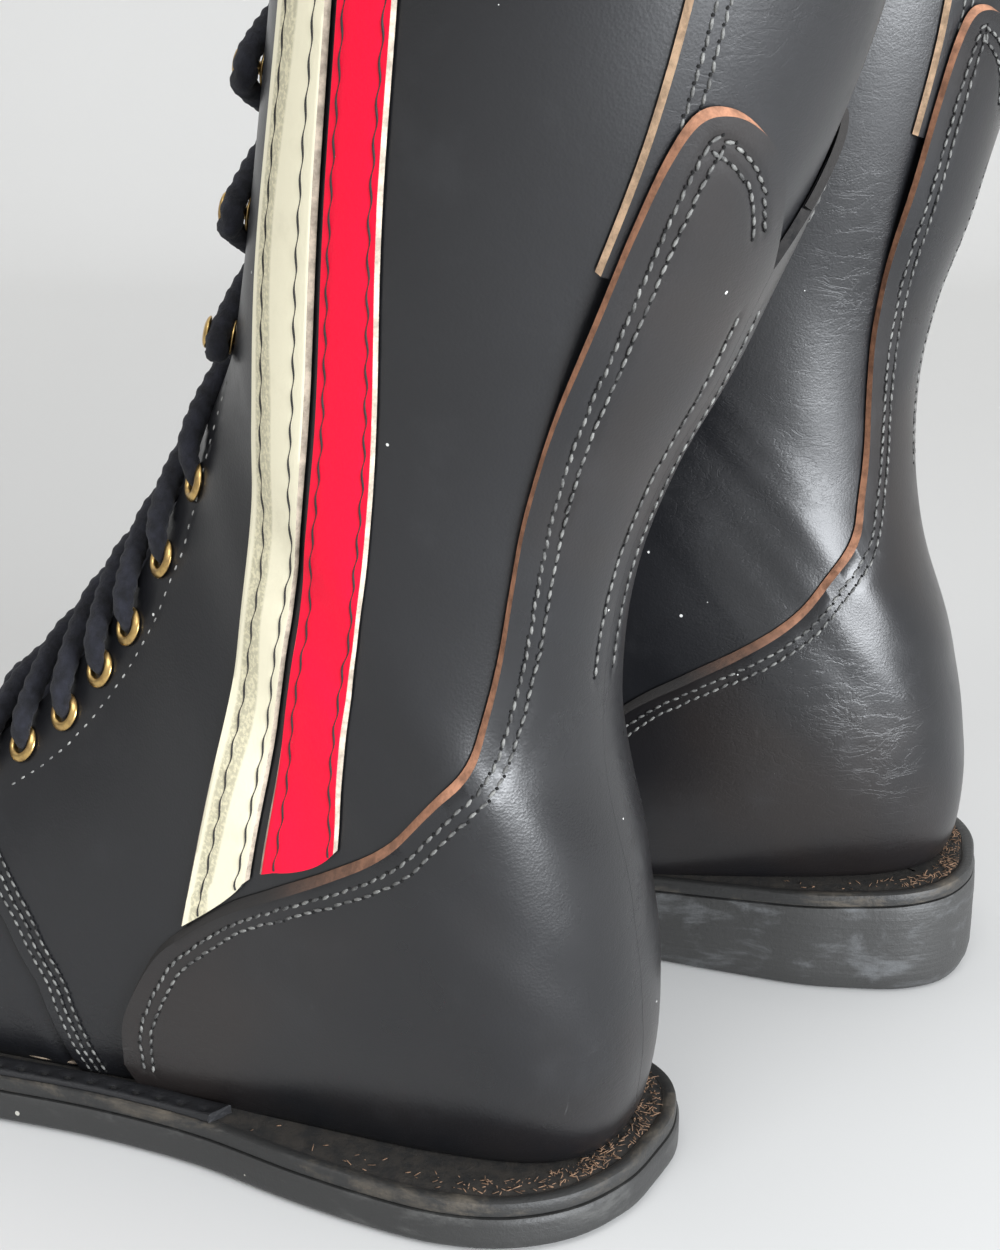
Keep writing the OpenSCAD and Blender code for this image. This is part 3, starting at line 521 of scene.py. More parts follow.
def grid_piece(name, points, materials=()):
    """A grid primitive whose vertices are laid on rows x columns points, with a UV map in
    metres. Gives the piece and the cell number of each vertex."""
    rows, columns = points.shape[:2]
    across = np.cumsum(np.linalg.norm(np.diff(points, axis=1, prepend=points[:, :1]), axis=2), 1)
    up = np.cumsum(np.linalg.norm(np.diff(points, axis=0, prepend=points[:1]), axis=2), 0)
    uv = np.stack([across, up], 2)
    deselect()
    bpy.ops.mesh.primitive_grid_add(x_subdivisions=columns - 1, y_subdivisions=rows - 1, size=2)
    piece = bpy.context.object
    piece.name = piece.data.name = name
    mesh = piece.data
    if len(mesh.vertices) != rows * columns:
        raise RuntimeError(f"{name}: the grid has {len(mesh.vertices)} points")
    co = np.empty(len(mesh.vertices) * 3)
    mesh.vertices.foreach_get("co", co)
    co = co.reshape(-1, 3)
    i = np.rint((co[:, 1] + 1) / 2 * (rows - 1)).astype(int)
    j = np.rint((co[:, 0] + 1) / 2 * (columns - 1)).astype(int)
    mesh.vertices.foreach_set("co", points[i, j].ravel())
    loops = np.empty(len(mesh.loops), np.int32)
    mesh.loops.foreach_get("vertex_index", loops)
    mesh.uv_layers.active.data.foreach_set("uv", uv[i[loops], j[loops]].ravel())
    mesh.update()
    for material in materials:
        mesh.materials.append(material)
    return piece, i * columns + j


def vertex_values(piece, what):
    values = np.empty(len(piece.data.vertices) * 3)
    piece.data.vertices.foreach_get(what, values)
    return values.reshape(-1, 3)


def flip(piece):
    make_active(piece)
    bpy.ops.object.mode_set(mode="EDIT")
    bpy.ops.mesh.select_all(action="SELECT")
    bpy.ops.mesh.flip_normals()
    bpy.ops.object.mode_set(mode="OBJECT")


def leather_panel(boot, name, cells, top, thickness, materials, round_edge=0.4,
                  cut_columns=()):
    """A sheet of leather on cells, rows x columns of [angle, ring, lift]. Its rim has the last
    material, and the slanted strips of faces along a cut edge have the second."""
    rows, columns = cells.shape[:2]
    u, v, lift = (cells[..., k].ravel() for k in range(3))
    local = boot.skin(u, v, top + lift)
    world = boot.world(local)
    piece, order = grid_piece(name, world.reshape(rows, columns, 3), materials)
    out = boot.world(local + boot.outward(u, v)) - world
    if (vertex_values(piece, "normal") * out[order]).sum() < 0:
        flip(piece)
    for polygon in piece.data.polygons:
        j = min(int(order[k]) for k in polygon.vertices) % columns
        if j in cut_columns or j - columns + 1 in cut_columns:
            polygon.material_index = 1
    wall = piece.modifiers.new("Thickness", "SOLIDIFY")
    wall.thickness = thickness * MM
    wall.offset = -1
    wall.material_offset_rim = len(materials) - 1
    if round_edge:
        soft = piece.modifiers.new("Edge", "BEVEL")
        soft.width = round_edge * MM
        soft.segments = 2
        soft.limit_method = "ANGLE"
        soft.angle_limit = math.radians(60)
    apply_modifiers(piece)
    smooth(piece)
    return piece


def lofted(name, points, materials=(), closed_rows=False, angle=50):
    """A closed skin over rings of points; each ring ends where it starts. Open ends are
    filled, unless the last ring meets the first."""
    piece, _ = grid_piece(name, points, materials)
    make_active(piece)
    bpy.ops.object.mode_set(mode="EDIT")
    bpy.ops.mesh.select_all(action="SELECT")
    bpy.ops.mesh.remove_doubles(threshold=1e-6)
    if not closed_rows:
        bpy.ops.mesh.select_all(action="SELECT")
        bpy.ops.mesh.fill_holes(sides=0)
    bpy.ops.mesh.select_all(action="SELECT")
    bpy.ops.mesh.normals_make_consistent(inside=False)
    bpy.ops.object.mode_set(mode="OBJECT")
    smooth(piece, angle)
    return piece


def lathed(name, profile, materials, sides=28, closed=False):
    """A turned fitting round its own z, from [radius, height] in millimetres."""
    a = np.linspace(0, 2 * np.pi, sides + 1)
    r, z = np.array(profile, float).T
    points = np.stack([np.outer(r, np.cos(a)), np.outer(r, np.sin(a)),
                       np.outer(z, np.ones_like(a))], 2) * MM
    points[:, -1] = points[:, 0]
    return lofted(name, points, materials, closed, 35)


def length_along(p):
    return np.concatenate([[0], np.cumsum(np.linalg.norm(np.diff(p, axis=0), axis=1))])


def resampled(path, points, pitch):
    """Rows of the path at equal distances along its points, about pitch apart."""
    s = length_along(points)
    n = max(int(s[-1] / pitch), 2)
    at = (np.arange(n) + 0.5) * s[-1] / n
    return np.stack([np.interp(at, s, path[:, k]) for k in range(path.shape[1])], 1)


def copies(name, base, places, materials=None):
    """One mesh that holds a copy of the base piece at each place, a 3 x 4 matrix."""
    mesh = base.data
    n = len(mesh.vertices)
    co = vertex_values(base, "co")
    faces = [tuple(p.vertices) for p in mesh.polygons]
    kinds = [p.material_index for p in mesh.polygons]
    places = np.asarray(places)
    points = np.einsum("kij,nj->kni", places[:, :, :3], co) + places[:, None, :, 3]
    turned = np.linalg.det(places[:, :, :3]) < 0
    made = bpy.data.meshes.new(name)
    made.from_pydata(points.reshape(-1, 3), [], [
        tuple(i + k * n for i in (f[::-1] if turned[k] else f))
        for k in range(len(places)) for f in faces])
    made.polygons.foreach_set("material_index", np.tile(kinds, len(places)))
    made.polygons.foreach_set("use_smooth", np.ones(len(made.polygons), bool))
    for material in materials or list(mesh.materials):
        made.materials.append(material)
    made.update()
    piece = bpy.data.objects.new(name, made)
    bpy.context.scene.collection.objects.link(piece)
    bpy.data.objects.remove(base)
    return piece


def unit_rows(a):
    return a / np.maximum(np.linalg.norm(a, axis=1, keepdims=True), 1e-12)


def standing(boot, u, v, h):
    """Places of fittings on the surface, their own z out of the leather."""
    local = boot.skin(u, v, h)
    centre = boot.world(local)
    out = unit_rows(boot.world(local + boot.outward(u, v)) - centre)
    side = unit_rows(np.cross(out, [0.2, 0.1, 1.0]))
    return np.stack([side, np.cross(out, side), out, centre], 2)


def stitch_places(boot, path, pitch, h, slant=0.0, jitter=0.06):
    """Places of stitches along a path [angle, ring], their own x along it."""
    at = resampled(path, boot.face(path[:, 0], path[:, 1]), pitch)
    local = boot.skin(at[:, 0], at[:, 1], h)
    centre = boot.world(local)
    out = unit_rows(boot.world(local + boot.outward(at[:, 0], at[:, 1])) - centre)
    along_row = unit_rows(np.gradient(centre, axis=0))
    side = unit_rows(np.cross(out, along_row))
    turn = (slant + boot.rng.normal(0, jitter, len(at)))[:, None]
    x = unit_rows(along_row * np.cos(turn) + side * np.sin(turn))
    centre = centre + side * boot.rng.normal(0, 0.08 * MM, len(at))[:, None]
    return np.stack([x, np.cross(out, x), out, centre], 2)


def stitch(length, width, hole=True):
    """One stitch lying along x, by default with a near-black blob at its end, painted shade where
    the thread goes into the leather.
    """
    deselect()
    bpy.ops.mesh.primitive_uv_sphere_add(segments=6, ring_count=5, radius=1)
    piece = bpy.context.object
    bpy.ops.transform.resize(value=(length / 2 * MM, width / 2 * MM, width * 0.42 * MM))
    # A small near-black blob at the stitch's end: painted shade for the puncture the thread goes
    # through.
    if hole:
        deselect()
        bpy.ops.mesh.primitive_uv_sphere_add(segments=6, ring_count=4, radius=1)
        puncture_shade_blob = bpy.context.object
        bpy.ops.transform.resize(value=(0.42 * MM, 0.42 * MM, 0.2 * MM))
        bpy.ops.transform.translate(value=((length / 2 + 0.35) * MM, 0, 0))
        puncture_shade_blob.data.materials.append(finish("thread"))
        puncture_shade_blob.data.materials.append(finish("painted_puncture_shade"))
        for polygon in puncture_shade_blob.data.polygons:
            polygon.material_index = 1
        piece.data.materials.append(finish("thread"))
        piece.select_set(True)
        bpy.context.view_layer.objects.active = piece
        bpy.ops.object.join()
    bpy.ops.object.transform_apply(location=True, rotation=True, scale=True)
    return piece


def tube(name, path, radius, materials, sides, twist=0.0, pitch=9.0):
    """A tube round a path in metres, with radii in millimetres. A twist above 0 gives it the
    strands of a laid cord, one turn to each pitch."""
    t = unit_rows(np.gradient(path, axis=0))
    side = np.empty_like(t)
    m = unit_rows(np.cross(t[:1], [[0.3, 0.9, 0.1]]))[0]
    for k in range(len(t)):
        m = m - (m @ t[k]) * t[k]
        m /= np.linalg.norm(m)
        side[k] = m
    third = np.cross(t, side)
    a = np.linspace(0, 2 * np.pi, sides + 1)
    s = length_along(path) / MM
    lay = np.abs(np.cos(LACE_STRANDS / 2 * (a[None] + 2 * np.pi * s[:, None] / pitch)))
    r = np.broadcast_to(radius, len(path))[:, None] * (1 - twist + twist * lay) * MM
    points = path[:, None] + r[..., None] * (
        np.cos(a)[None, :, None] * side[:, None] + np.sin(a)[None, :, None] * third[:, None])
    points[:, -1] = points[:, 0]
    return lofted(name, points, materials, angle=80)


def distances(points, path):
    """Distance of each point from the nearest point of a path."""
    return np.sqrt(((points[:, None] - path[None]) ** 2).sum(2)).min(1)


# ------------------------------------------------------------------ shader node groups

class Nodes:
    """Short calls for building a node tree."""

    def __init__(self, tree):
        self.tree = tree

    def add(self, kind, inputs=None, **settings):
        node = self.tree.nodes.new(kind)
        for key, value in settings.items():
            setattr(node, key, value)
        for key, value in (inputs or {}).items():
            if isinstance(value, bpy.types.NodeSocket):
                self.tree.links.new(value, node.inputs[key])
            else:
                node.inputs[key].default_value = value
        return node

    def math(self, operation, a, b=0.0, clamp=False):
        return self.add("ShaderNodeMath", {0: a, 1: b}, operation=operation,
                        use_clamp=clamp).outputs[0]

    def span(self, value, low, high, to_low=0.0, to_high=1.0):
        """Maps low..high onto to_low..to_high, with soft ends."""
        return self.add("ShaderNodeMapRange", {
            "Value": value, "From Min": low, "From Max": high, "To Min": to_low,
            "To Max": to_high}, interpolation_type="SMOOTHSTEP").outputs[0]

    def mix(self, share, a, b):
        return self.add("ShaderNodeMix", {0: share, 6: a, 7: b}, data_type="RGBA").outputs[2]

    def noise(self, vector, scale, detail=2.0, rough=0.5, distort=0.0):
        return self.add("ShaderNodeTexNoise", {
            "Vector": vector, "Scale": scale, "Detail": detail, "Roughness": rough,
            "Distortion": distort}).outputs["Fac"]

    def cells(self, vector, scale):
        return self.add("ShaderNodeTexVoronoi", {"Vector": vector, "Scale": scale})

    def stretched(self, vector, scale, turn=(0, 0, 0)):
        return self.add("ShaderNodeMapping", {
            "Vector": vector, "Scale": scale, "Rotation": turn}).outputs[0]

    def place(self):
        return self.add("ShaderNodeTexCoord").outputs["Object"]


def new_group(name, inputs, outputs):
    group = bpy.data.node_groups.new(name, "ShaderNodeTree")
    for socket, value in inputs.items():
        made = group.interface.new_socket(name=socket, in_out="INPUT",
                                          socket_type="NodeSocketFloat")
        made.default_value = value
    for socket in outputs:
        group.interface.new_socket(name=socket, in_out="OUTPUT", socket_type="NodeSocketFloat")
    n = Nodes(group)
    return n, n.add("NodeGroupInput").outputs, n.add("NodeGroupOutput").inputs, group


def build_leather_grain():
    """Pores, a fine wrinkled grain and creases in patches."""
    n, given, out, group = new_group(
        "Leather grain", {"Pores": 1600.0, "Creases": 0.5}, ["Height", "Tone"])
    place = n.place()
    pores = n.cells(place, given["Pores"]).outputs["Distance"]
    wrinkle = n.noise(place, 420.0, 4.0, 0.6)
    crease = n.noise(n.stretched(place, (1, 1, 2.4)), 95.0, 5.0, 0.62, 0.7)
    ridge = n.math("ABSOLUTE", n.math("SUBTRACT", crease, 0.5))
    patches = n.span(n.noise(place, 13.0, 2.0), 0.42, 0.68)
    folds = n.math("MULTIPLY", n.math("MULTIPLY", n.span(ridge, 0.0, 0.045, -1.0, 0.0), patches),
                   given["Creases"])
    grain = n.math("ADD", n.math("MULTIPLY", pores, 0.35), n.math("MULTIPLY", wrinkle, 0.5))
    n.tree.links.new(n.math("ADD", grain, folds), out["Height"])
    n.tree.links.new(n.noise(place, 17.0, 3.0, 0.55), out["Tone"])
    return group


def build_wear_marks():
    """Dust specks, short scratches and rubbed patches, as masks."""
    n, given, out, group = new_group(
        "Wear marks", {"Specks": 0.5, "Scratches": 0.5}, ["Specks", "Scratches", "Rubbed"])
    place = n.place()
    cells = n.cells(place, 105.0)
    pick = n.add("ShaderNodeSeparateColor", {0: cells.outputs["Color"]}).outputs
    size = n.math("MULTIPLY", n.math("MULTIPLY", pick[0], 0.09), given["Specks"])
    near = n.math("LESS_THAN", cells.outputs["Distance"], size)
    n.tree.links.new(n.math("MULTIPLY", near, n.math("GREATER_THAN", pick[1], 0.5)),
                     out["Specks"])
    lines = n.noise(n.stretched(place, (420, 60, 26), (0.5, 0.35, 0.2)), 1.0, 3.0, 0.6, 0.2)
    other = n.noise(n.stretched(place, (50, 380, 30), (-0.4, 0.6, 0.9)), 1.0, 3.0, 0.6, 0.2)
    worn = n.span(n.noise(place, 30.0, 2.0), 0.5, 0.72)
    both = n.math("MAXIMUM", n.span(lines, 0.71, 0.77), n.span(other, 0.72, 0.78))
    n.tree.links.new(n.math("MULTIPLY", n.math("MULTIPLY", both, worn), given["Scratches"]),
                     out["Scratches"])
    n.tree.links.new(n.span(n.noise(place, 48.0, 5.0, 0.65), 0.52, 0.78), out["Rubbed"])
    return group


def build_rubber_grain():
    """Fine pitted grain, faint lines along the edge and chalky patches."""
    n, given, out, group = new_group(
        "Rubber grain", {"Pits": 800.0, "Lines": 0.4}, ["Height", "Chalk"])
    place = n.place()
    pits = n.noise(place, given["Pits"], 4.0, 0.7)
    lines = n.noise(n.stretched(place, (12, 12, 900)), 1.0, 2.0)
    n.tree.links.new(n.math("ADD", pits, n.math("MULTIPLY", lines, given["Lines"])),
                     out["Height"])
    blot = n.noise(n.stretched(place, (40, 40, 110)), 1.0, 6.0, 0.7, 0.4)
    n.tree.links.new(n.span(blot, 0.5, 0.74), out["Chalk"])
    return group


def build_fibre():
    """Loose fuzz, as on cotton, thread and the raw side of leather."""
    n, given, out, group = new_group("Fibre", {"Scale": 900.0}, ["Height", "Tone"])
    place = n.place()
    fine = n.noise(place, given["Scale"], 5.0, 0.75, 0.6)
    n.tree.links.new(fine, out["Height"])
    n.tree.links.new(n.span(n.noise(place, 260.0, 4.0, 0.7), 0.3, 0.7), out["Tone"])
    return group


GROUP_BUILDERS = {"Leather grain": build_leather_grain, "Wear marks": build_wear_marks,
                  "Rubber grain": build_rubber_grain, "Fibre": build_fibre}


def group_in(n, name, **values):
    group = bpy.data.node_groups.get(name) or GROUP_BUILDERS[name]()
    node = n.add("ShaderNodeGroup", node_tree=group)
    for key, value in values.items():
        node.inputs[key].default_value = value
    return node.outputs


def new_material(name, **fixed):
    """A material with its Principled shader. Fixed values go on the shader's own sockets."""
    material = bpy.data.materials.new(name)
    material.use_nodes = True
    shader = material.node_tree.nodes["Principled BSDF"]
    for key, value in fixed.items():
        socket = key.replace("_", " ").title().replace("Ior", "IOR")
        shader.inputs[socket].default_value = value
    return material, Nodes(material.node_tree), shader.inputs


def bumped(n, height, strength, distance):
    return n.add("ShaderNodeBump", {"Height": height, "Strength": strength,
                                    "Distance": distance * MM}).outputs[0]


# ------------------------------------------------------------------ materials

# Brown that shows through worn black leather.
BROWN_TINT = (0.03, 0.02, 0.014, 1)


def leather(name, black, rough, tint_share=0.0, creases=0.5, scratches=0.5, coat=0.08):
    """Polished black leather with sheen, creases, dust and scratches."""
    material, n, shader = new_material(name, coat_weight=coat, coat_roughness=0.3)
    grain = group_in(n, "Leather grain", Creases=creases)
    wear = group_in(n, "Wear marks", Specks=0.6, Scratches=scratches)
    lighter = tuple(2.1 * c for c in black[:3]) + (1,)
    colour = n.mix(grain["Tone"], tuple(black), lighter)
    if tint_share:
        patches = n.span(n.noise(n.place(), 16.0, 2.0), 0.4, 0.7, 0.0, tint_share)
        colour = n.mix(patches, colour, BROWN_TINT)
    colour = n.mix(n.math("MULTIPLY", wear["Rubbed"], 0.2), colour, (0.026, 0.027, 0.03, 1))
    colour = n.mix(n.math("MULTIPLY", wear["Scratches"], 0.5), colour, (0.16, 0.16, 0.16, 1))
    colour = n.mix(wear["Specks"], colour, (0.62, 0.62, 0.6, 1))
    n.tree.links.new(colour, shader["Base Color"])
    uneven = n.math("ADD", n.span(grain["Tone"], 0.3, 0.7, rough - 0.05, rough + 0.07),
                    n.math("MULTIPLY", wear["Rubbed"], 0.1))
    n.tree.links.new(n.math("ADD", uneven, n.math("MULTIPLY", wear["Specks"], 0.4), True),
                     shader["Roughness"])
    n.tree.links.new(bumped(n, grain["Height"], 0.32, 0.22), shader["Normal"])
    return material


def cut_edge(name, colour, fade=None):
    """The raw edge of the leather. The fade gives the distances along the edge, in metres,
    between which the colour shows; elsewhere the edge is dyed black."""
    material, n, shader = new_material(name, roughness=0.75)
    fibre = group_in(n, "Fibre", Scale=700.0)
    darker = tuple(0.45 * c for c in colour[:3]) + (1,)
    tone = n.mix(fibre["Tone"], darker, tuple(colour))
    if fade:
        up = n.add("ShaderNodeSeparateXYZ", {0: n.add("ShaderNodeUVMap").outputs[0]}).outputs[1]
        shown = n.math("MULTIPLY", n.span(up, fade[0], fade[1]),
                       n.span(up, fade[2], fade[3], 1.0, 0.0))
        tone = n.mix(shown, (0.02, 0.018, 0.017, 1), tone)
    n.tree.links.new(tone, shader["Base Color"])
    n.tree.links.new(bumped(n, fibre["Height"], 0.5, 0.3), shader["Normal"])
    return material


def stripe_leather(name, middle, margin, cream):
    """Painted stripe leather, pebbled all over; the cream one has a speckled middle between
    margins of another colour.
    """
    material, n, shader = new_material(name, specular_ior_level=0.25)
    across = n.add("ShaderNodeSeparateXYZ", {0: n.add("ShaderNodeUVMap").outputs[0]}).outputs[0]
    place = n.place()
    pebbles = n.cells(place, 1500.0).outputs["Distance"]
    fine = n.noise(place, 1100.0, 3.0, 0.6)
    grime = n.span(n.noise(place, 70.0, 5.0, 0.7), 0.45, 0.8)
    wear = group_in(n, "Wear marks", Specks=0.5, Scratches=0.6)
    if cream:
        inner = n.math("MULTIPLY", n.span(across, 0.003, 0.0042),
                       n.span(across, 0.0098, 0.0112, 1.0, 0.0))
        speckle = n.span(fine, 0.42, 0.62)
        centre = n.mix(speckle, tuple(0.72 * c for c in middle[:3]) + (1,), tuple(middle))
        colour = n.mix(inner, tuple(margin), centre)
        colour = n.mix(n.math("MULTIPLY", grime, 0.14), colour, (0.3, 0.27, 0.16, 1))
        colour = n.mix(n.math("MULTIPLY", wear["Scratches"], 0.5), colour, (0.1, 0.09, 0.07, 1))
    else:
        colour = n.mix(n.math("MULTIPLY", grime, 0.3), tuple(middle), tuple(margin))
        colour = n.mix(n.math("MULTIPLY", wear["Specks"], 0.6), colour, (0.8, 0.6, 0.55, 1))
    n.tree.links.new(colour, shader["Base Color"])
    n.tree.links.new(n.span(fine, 0.3, 0.7, 0.42, 0.58), shader["Roughness"])
    height = n.math("ADD", n.math("MULTIPLY", pebbles, 0.5), n.math("MULTIPLY", fine, 0.4))
    n.tree.links.new(bumped(n, height, 0.35, 0.2), shader["Normal"])
    return material


def rubber(name, base, chalk, share, lines=0.4):
    material, n, shader = new_material(name)
    grain = group_in(n, "Rubber grain", Lines=lines)
    wear = group_in(n, "Wear marks", Specks=0.8, Scratches=1.0)
    colour = n.mix(n.math("MULTIPLY", grain["Chalk"], share), tuple(base), chalk)
    colour = n.mix(n.math("MULTIPLY", wear["Scratches"], 0.6), colour, (0.35, 0.34, 0.31, 1))
    colour = n.mix(n.math("MULTIPLY", wear["Specks"], 0.7), colour, (0.6, 0.58, 0.52, 1))
    n.tree.links.new(colour, shader["Base Color"])
    n.tree.links.new(n.span(grain["Chalk"], 0.0, 1.0, 0.5, 0.8), shader["Roughness"])
    n.tree.links.new(bumped(n, grain["Height"], 0.5, 0.35), shader["Normal"])
    return material


def fibrous(name, light, dark, rough=0.9, bump=0.6, scale=900.0, sheen=0.0):
    material, n, shader = new_material(name, roughness=rough, sheen_weight=sheen)
    fibre = group_in(n, "Fibre", Scale=scale)
    n.tree.links.new(n.mix(fibre["Tone"], dark, light), shader["Base Color"])
    n.tree.links.new(bumped(n, fibre["Height"], bump, 0.35), shader["Normal"])
    return material


def metal(name, base, tarnish):
    material, n, shader = new_material(name, metallic=1.0)
    place = n.place()
    patches = n.span(n.noise(place, 240.0, 4.0, 0.6), 0.42, 0.75)
    n.tree.links.new(n.mix(patches, tuple(base), tarnish), shader["Base Color"])
    n.tree.links.new(n.span(patches, 0.0, 1.0, 0.28, 0.5), shader["Roughness"])
    n.tree.links.new(bumped(n, n.noise(place, 900.0, 3.0), 0.15, 0.1), shader["Normal"])
    return material


def plastic(name, base):
    material, n, shader = new_material(name)
    place = n.place()
    wear = n.span(n.noise(place, 300.0, 4.0), 0.4, 0.8)
    n.tree.links.new(n.mix(wear, base, tuple(3 * c for c in base[:3]) + (1,)),
                     shader["Base Color"])
    n.tree.links.new(n.span(wear, 0.0, 1.0, 0.25, 0.5), shader["Roughness"])
    n.tree.links.new(bumped(n, n.noise(place, 500.0, 2.0), 0.15, 0.1), shader["Normal"])
    return material


# Near-black and fully rough: painted shade for the punctures at stitch ends and in the welt's
# pits.
def painted_puncture_shade(name):
    material, n, shader = new_material(name, roughness=1.0)
    n.tree.links.new(n.mix(n.noise(n.place(), 900.0), (0.001, 0.001, 0.001, 1),
                           (0.006, 0.006, 0.006, 1)), shader["Base Color"])
    return material


def floor_paper(name, base):
    material, n, shader = new_material(name, roughness=0.85)
    place = n.place()
    away = n.add("ShaderNodeVectorMath", {0: place}, operation="LENGTH").outputs["Value"]
    # The paper is painted paler further from the boots: painted light that brightens the far floor
    # and the backdrop.
    painted_far_light = tuple(min(1.22 * c, 0.96) for c in base[:3]) + (1,)
    colour = n.mix(n.span(away, 0.3, 1.9), tuple(base), painted_far_light)
    mottled = n.span(n.noise(place, 6.0, 3.0), 0.3, 0.7, 0.0, 0.02)
    n.tree.links.new(n.mix(mottled, colour, (0.6, 0.6, 0.6, 1)), shader["Base Color"])
    n.tree.links.new(bumped(n, n.noise(place, 700.0, 2.0), 0.05, 0.1), shader["Normal"])
    return material


# Distances along the cover's edge, in metres, between which its colour shows on the outer
# side of the left boot and the inner one of the right boot, and on the other two covers.
EDGE_SHOWN = (0.075, 0.13, 0.4, 0.46)
WORN_EDGE_SHOWN = (0.075, 0.13, 0.24, 0.27)
FINISHES = {
    "upper": lambda c: leather("Upper leather", c.black, 0.33),
    "cover": lambda c: leather("Cover leather", c.black, 0.3, tint_share=0.3, creases=0.5,
                               scratches=0.9, coat=0.12),
    "strap": lambda c: leather("Strap leather", c.black, 0.36, creases=0.8),
    "dyed_edge": lambda c: fibrous("Dyed edge", (0.03, 0.028, 0.027, 1), (0.008, 0.008, 0.009, 1)),
    "cover_edge": lambda c: cut_edge("Cover edge", c.tan, EDGE_SHOWN),
    "short_edge": lambda c: cut_edge("Worn cover edge", c.tan, WORN_EDGE_SHOWN),
    "strap_edge": lambda c: cut_edge("Strap edge", (0.62, 0.42, 0.27, 1)),
    "cream": lambda c: stripe_leather("Cream stripe", c.cream, (0.84, 0.79, 0.6, 1), True),
    "red": lambda c: stripe_leather("Red stripe", c.red, (0.7, 0.002, 0.025, 1), False),
    "raw_edge": lambda c: cut_edge("Raw stripe edge", (0.6, 0.5, 0.4, 1)),
    "thread": lambda c: fibrous("Grey thread", (0.2, 0.2, 0.19, 1), (0.03, 0.03, 0.03, 1),
                                0.6, 0.5, 1500.0),
    "dark_thread": lambda c: fibrous("Black thread", (0.02, 0.018, 0.018, 1),
                                     (0.006, 0.006, 0.006, 1), 0.7, 0.5, 1500.0),
    "pale_thread": lambda c: fibrous("Pale thread", (0.42, 0.42, 0.4, 1), (0.12, 0.12, 0.12, 1),
                                     0.7, 0.5, 1500.0),
    "painted_puncture_shade": lambda c: painted_puncture_shade("Painted puncture shade"),
    "lace": lambda c: fibrous("Cotton lace", (0.014, 0.015, 0.024, 1),
                              (0.002, 0.0024, 0.005, 1), 0.95, 1.0, 800.0, 0.06),
    "brass": lambda c: metal("Tarnished brass", c.brass, (0.24, 0.15, 0.07, 1)),
    "steel": lambda c: metal("Shank steel", (0.5, 0.5, 0.5, 1), (0.25, 0.22, 0.2, 1)),
    "aglet": lambda c: plastic("Aglet", (0.012, 0.012, 0.012, 1)),
    "sole": lambda c: rubber("Sole rubber", c.rubber, (0.11, 0.11, 0.105, 1), 0.6),
    "wedge": lambda c: rubber("Wedge rubber", tuple(1.35 * x for x in c.rubber[:3]) + (1,),
                              (0.13, 0.135, 0.14, 1), 0.7, 0.8),
    "midsole": lambda c: rubber("Midsole rubber", tuple(0.8 * x for x in c.rubber[:3]) + (1,),
                                (0.12, 0.1, 0.075, 1), 0.75),
    "welt": lambda c: leather("Welt leather", c.black, 0.5, creases=0.9, scratches=0.8,
                              coat=0.05),
    "rim_glue": lambda c: fibrous("Rim glue", (0.022, 0.018, 0.014, 1),
                                  (0.004, 0.004, 0.004, 1), 0.95, 1.0, 420.0),
    "rim_fibre": lambda c: fibrous("Rim fibre", (0.3, 0.18, 0.11, 1), (0.06, 0.035, 0.02, 1)),
    "feather_line": lambda c: fibrous("Feather line", (0.46, 0.36, 0.26, 1),
                                      (0.05, 0.04, 0.035, 1), 0.8, 0.6, 160.0),
    "lining": lambda c: fibrous("Lining leather", (0.2, 0.13, 0.075, 1),
                                (0.1, 0.06, 0.035, 1), 0.8, 0.3, 500.0),
    "cork": lambda c: fibrous("Cork", (0.4, 0.24, 0.11, 1), (0.16, 0.09, 0.04, 1), 0.9, 0.7,
                              260.0),
    "board": lambda c: fibrous("Board", (0.24, 0.16, 0.1, 1), (0.12, 0.08, 0.05, 1), 0.85,
                               0.4, 380.0),
}
_finishes = {}


def finish(name):
    if name not in _finishes:
        _finishes[name] = FINISHES[name](colours())
    return _finishes[name]


# ------------------------------------------------------------------ shapes of the pieces

def clamped_smooth(t):
    t = np.clip(t, 0, 1)
    return t * t * (3 - 2 * t)


def seam_drop(u):
    """How far the seam over the vamp lies below its ring at an angle."""
    past = (np.abs(u) - SEAM_DROP_FROM) / (SEAM_DROP_TO - SEAM_DROP_FROM)
    return SEAM_DROP * (1 - np.clip(past, 0, 1))


def quarter_drop(u, v):
    """The same for the rings above the seam, up to where it has died out."""
    share = np.maximum(0, (QUARTER_DROP_RING - v) / (QUARTER_DROP_RING - SEAM_RING))
    return seam_drop(u) * share


def front_edge(v):
    return np.interp(v, FRONT_EDGE[:, 0], FRONT_EDGE[:, 1])


def back_end(v):
    return np.minimum(feather(v), QUARTER_REACH)


def vamp_cells(low=0.0, high=SEAM_RING, rows=54, columns=73):
    v = np.linspace(low, high, rows)[:, None]
    u = np.linspace(-1, 1, columns)[None] * np.minimum(feather(v.ravel()), VAMP_REACH)[:, None]
    share = np.maximum(0, (v - VAMP_DROP_RING) / (SEAM_RING - VAMP_DROP_RING))
    return u, v - seam_drop(u) * share, v


def quarter_cells(start, side, rows=104, columns=66):
    """Cells from the start angle of each ring to the sole or the back seam."""
    v = np.unique(np.concatenate([np.linspace(SEAM_RING, PANEL_TOP, rows),
                                  [9.6, 9.75, 9.85, 9.93, 10.0, 10.1]]))[:, None]
    t = np.linspace(0, 1, columns)[None] ** 1.25
    u = start(v) + (back_end(v.ravel())[:, None] - start(v)) * t
    lap = LAP_LIFT * np.exp(-((v - SEAM_RING) / LAP_FADE) ** 2) + 0 * u
    return np.stack([u * side, v - quarter_drop(u, v), lap], 2)


def lap_path(side):
    """Front edge of a quarter, where it lies over the vamp."""
    u = np.linspace(40, feather(SEAM_RING)[0] - 0.5, 120)
    return np.stack([u * side, SEAM_RING - seam_drop(u)], 1)


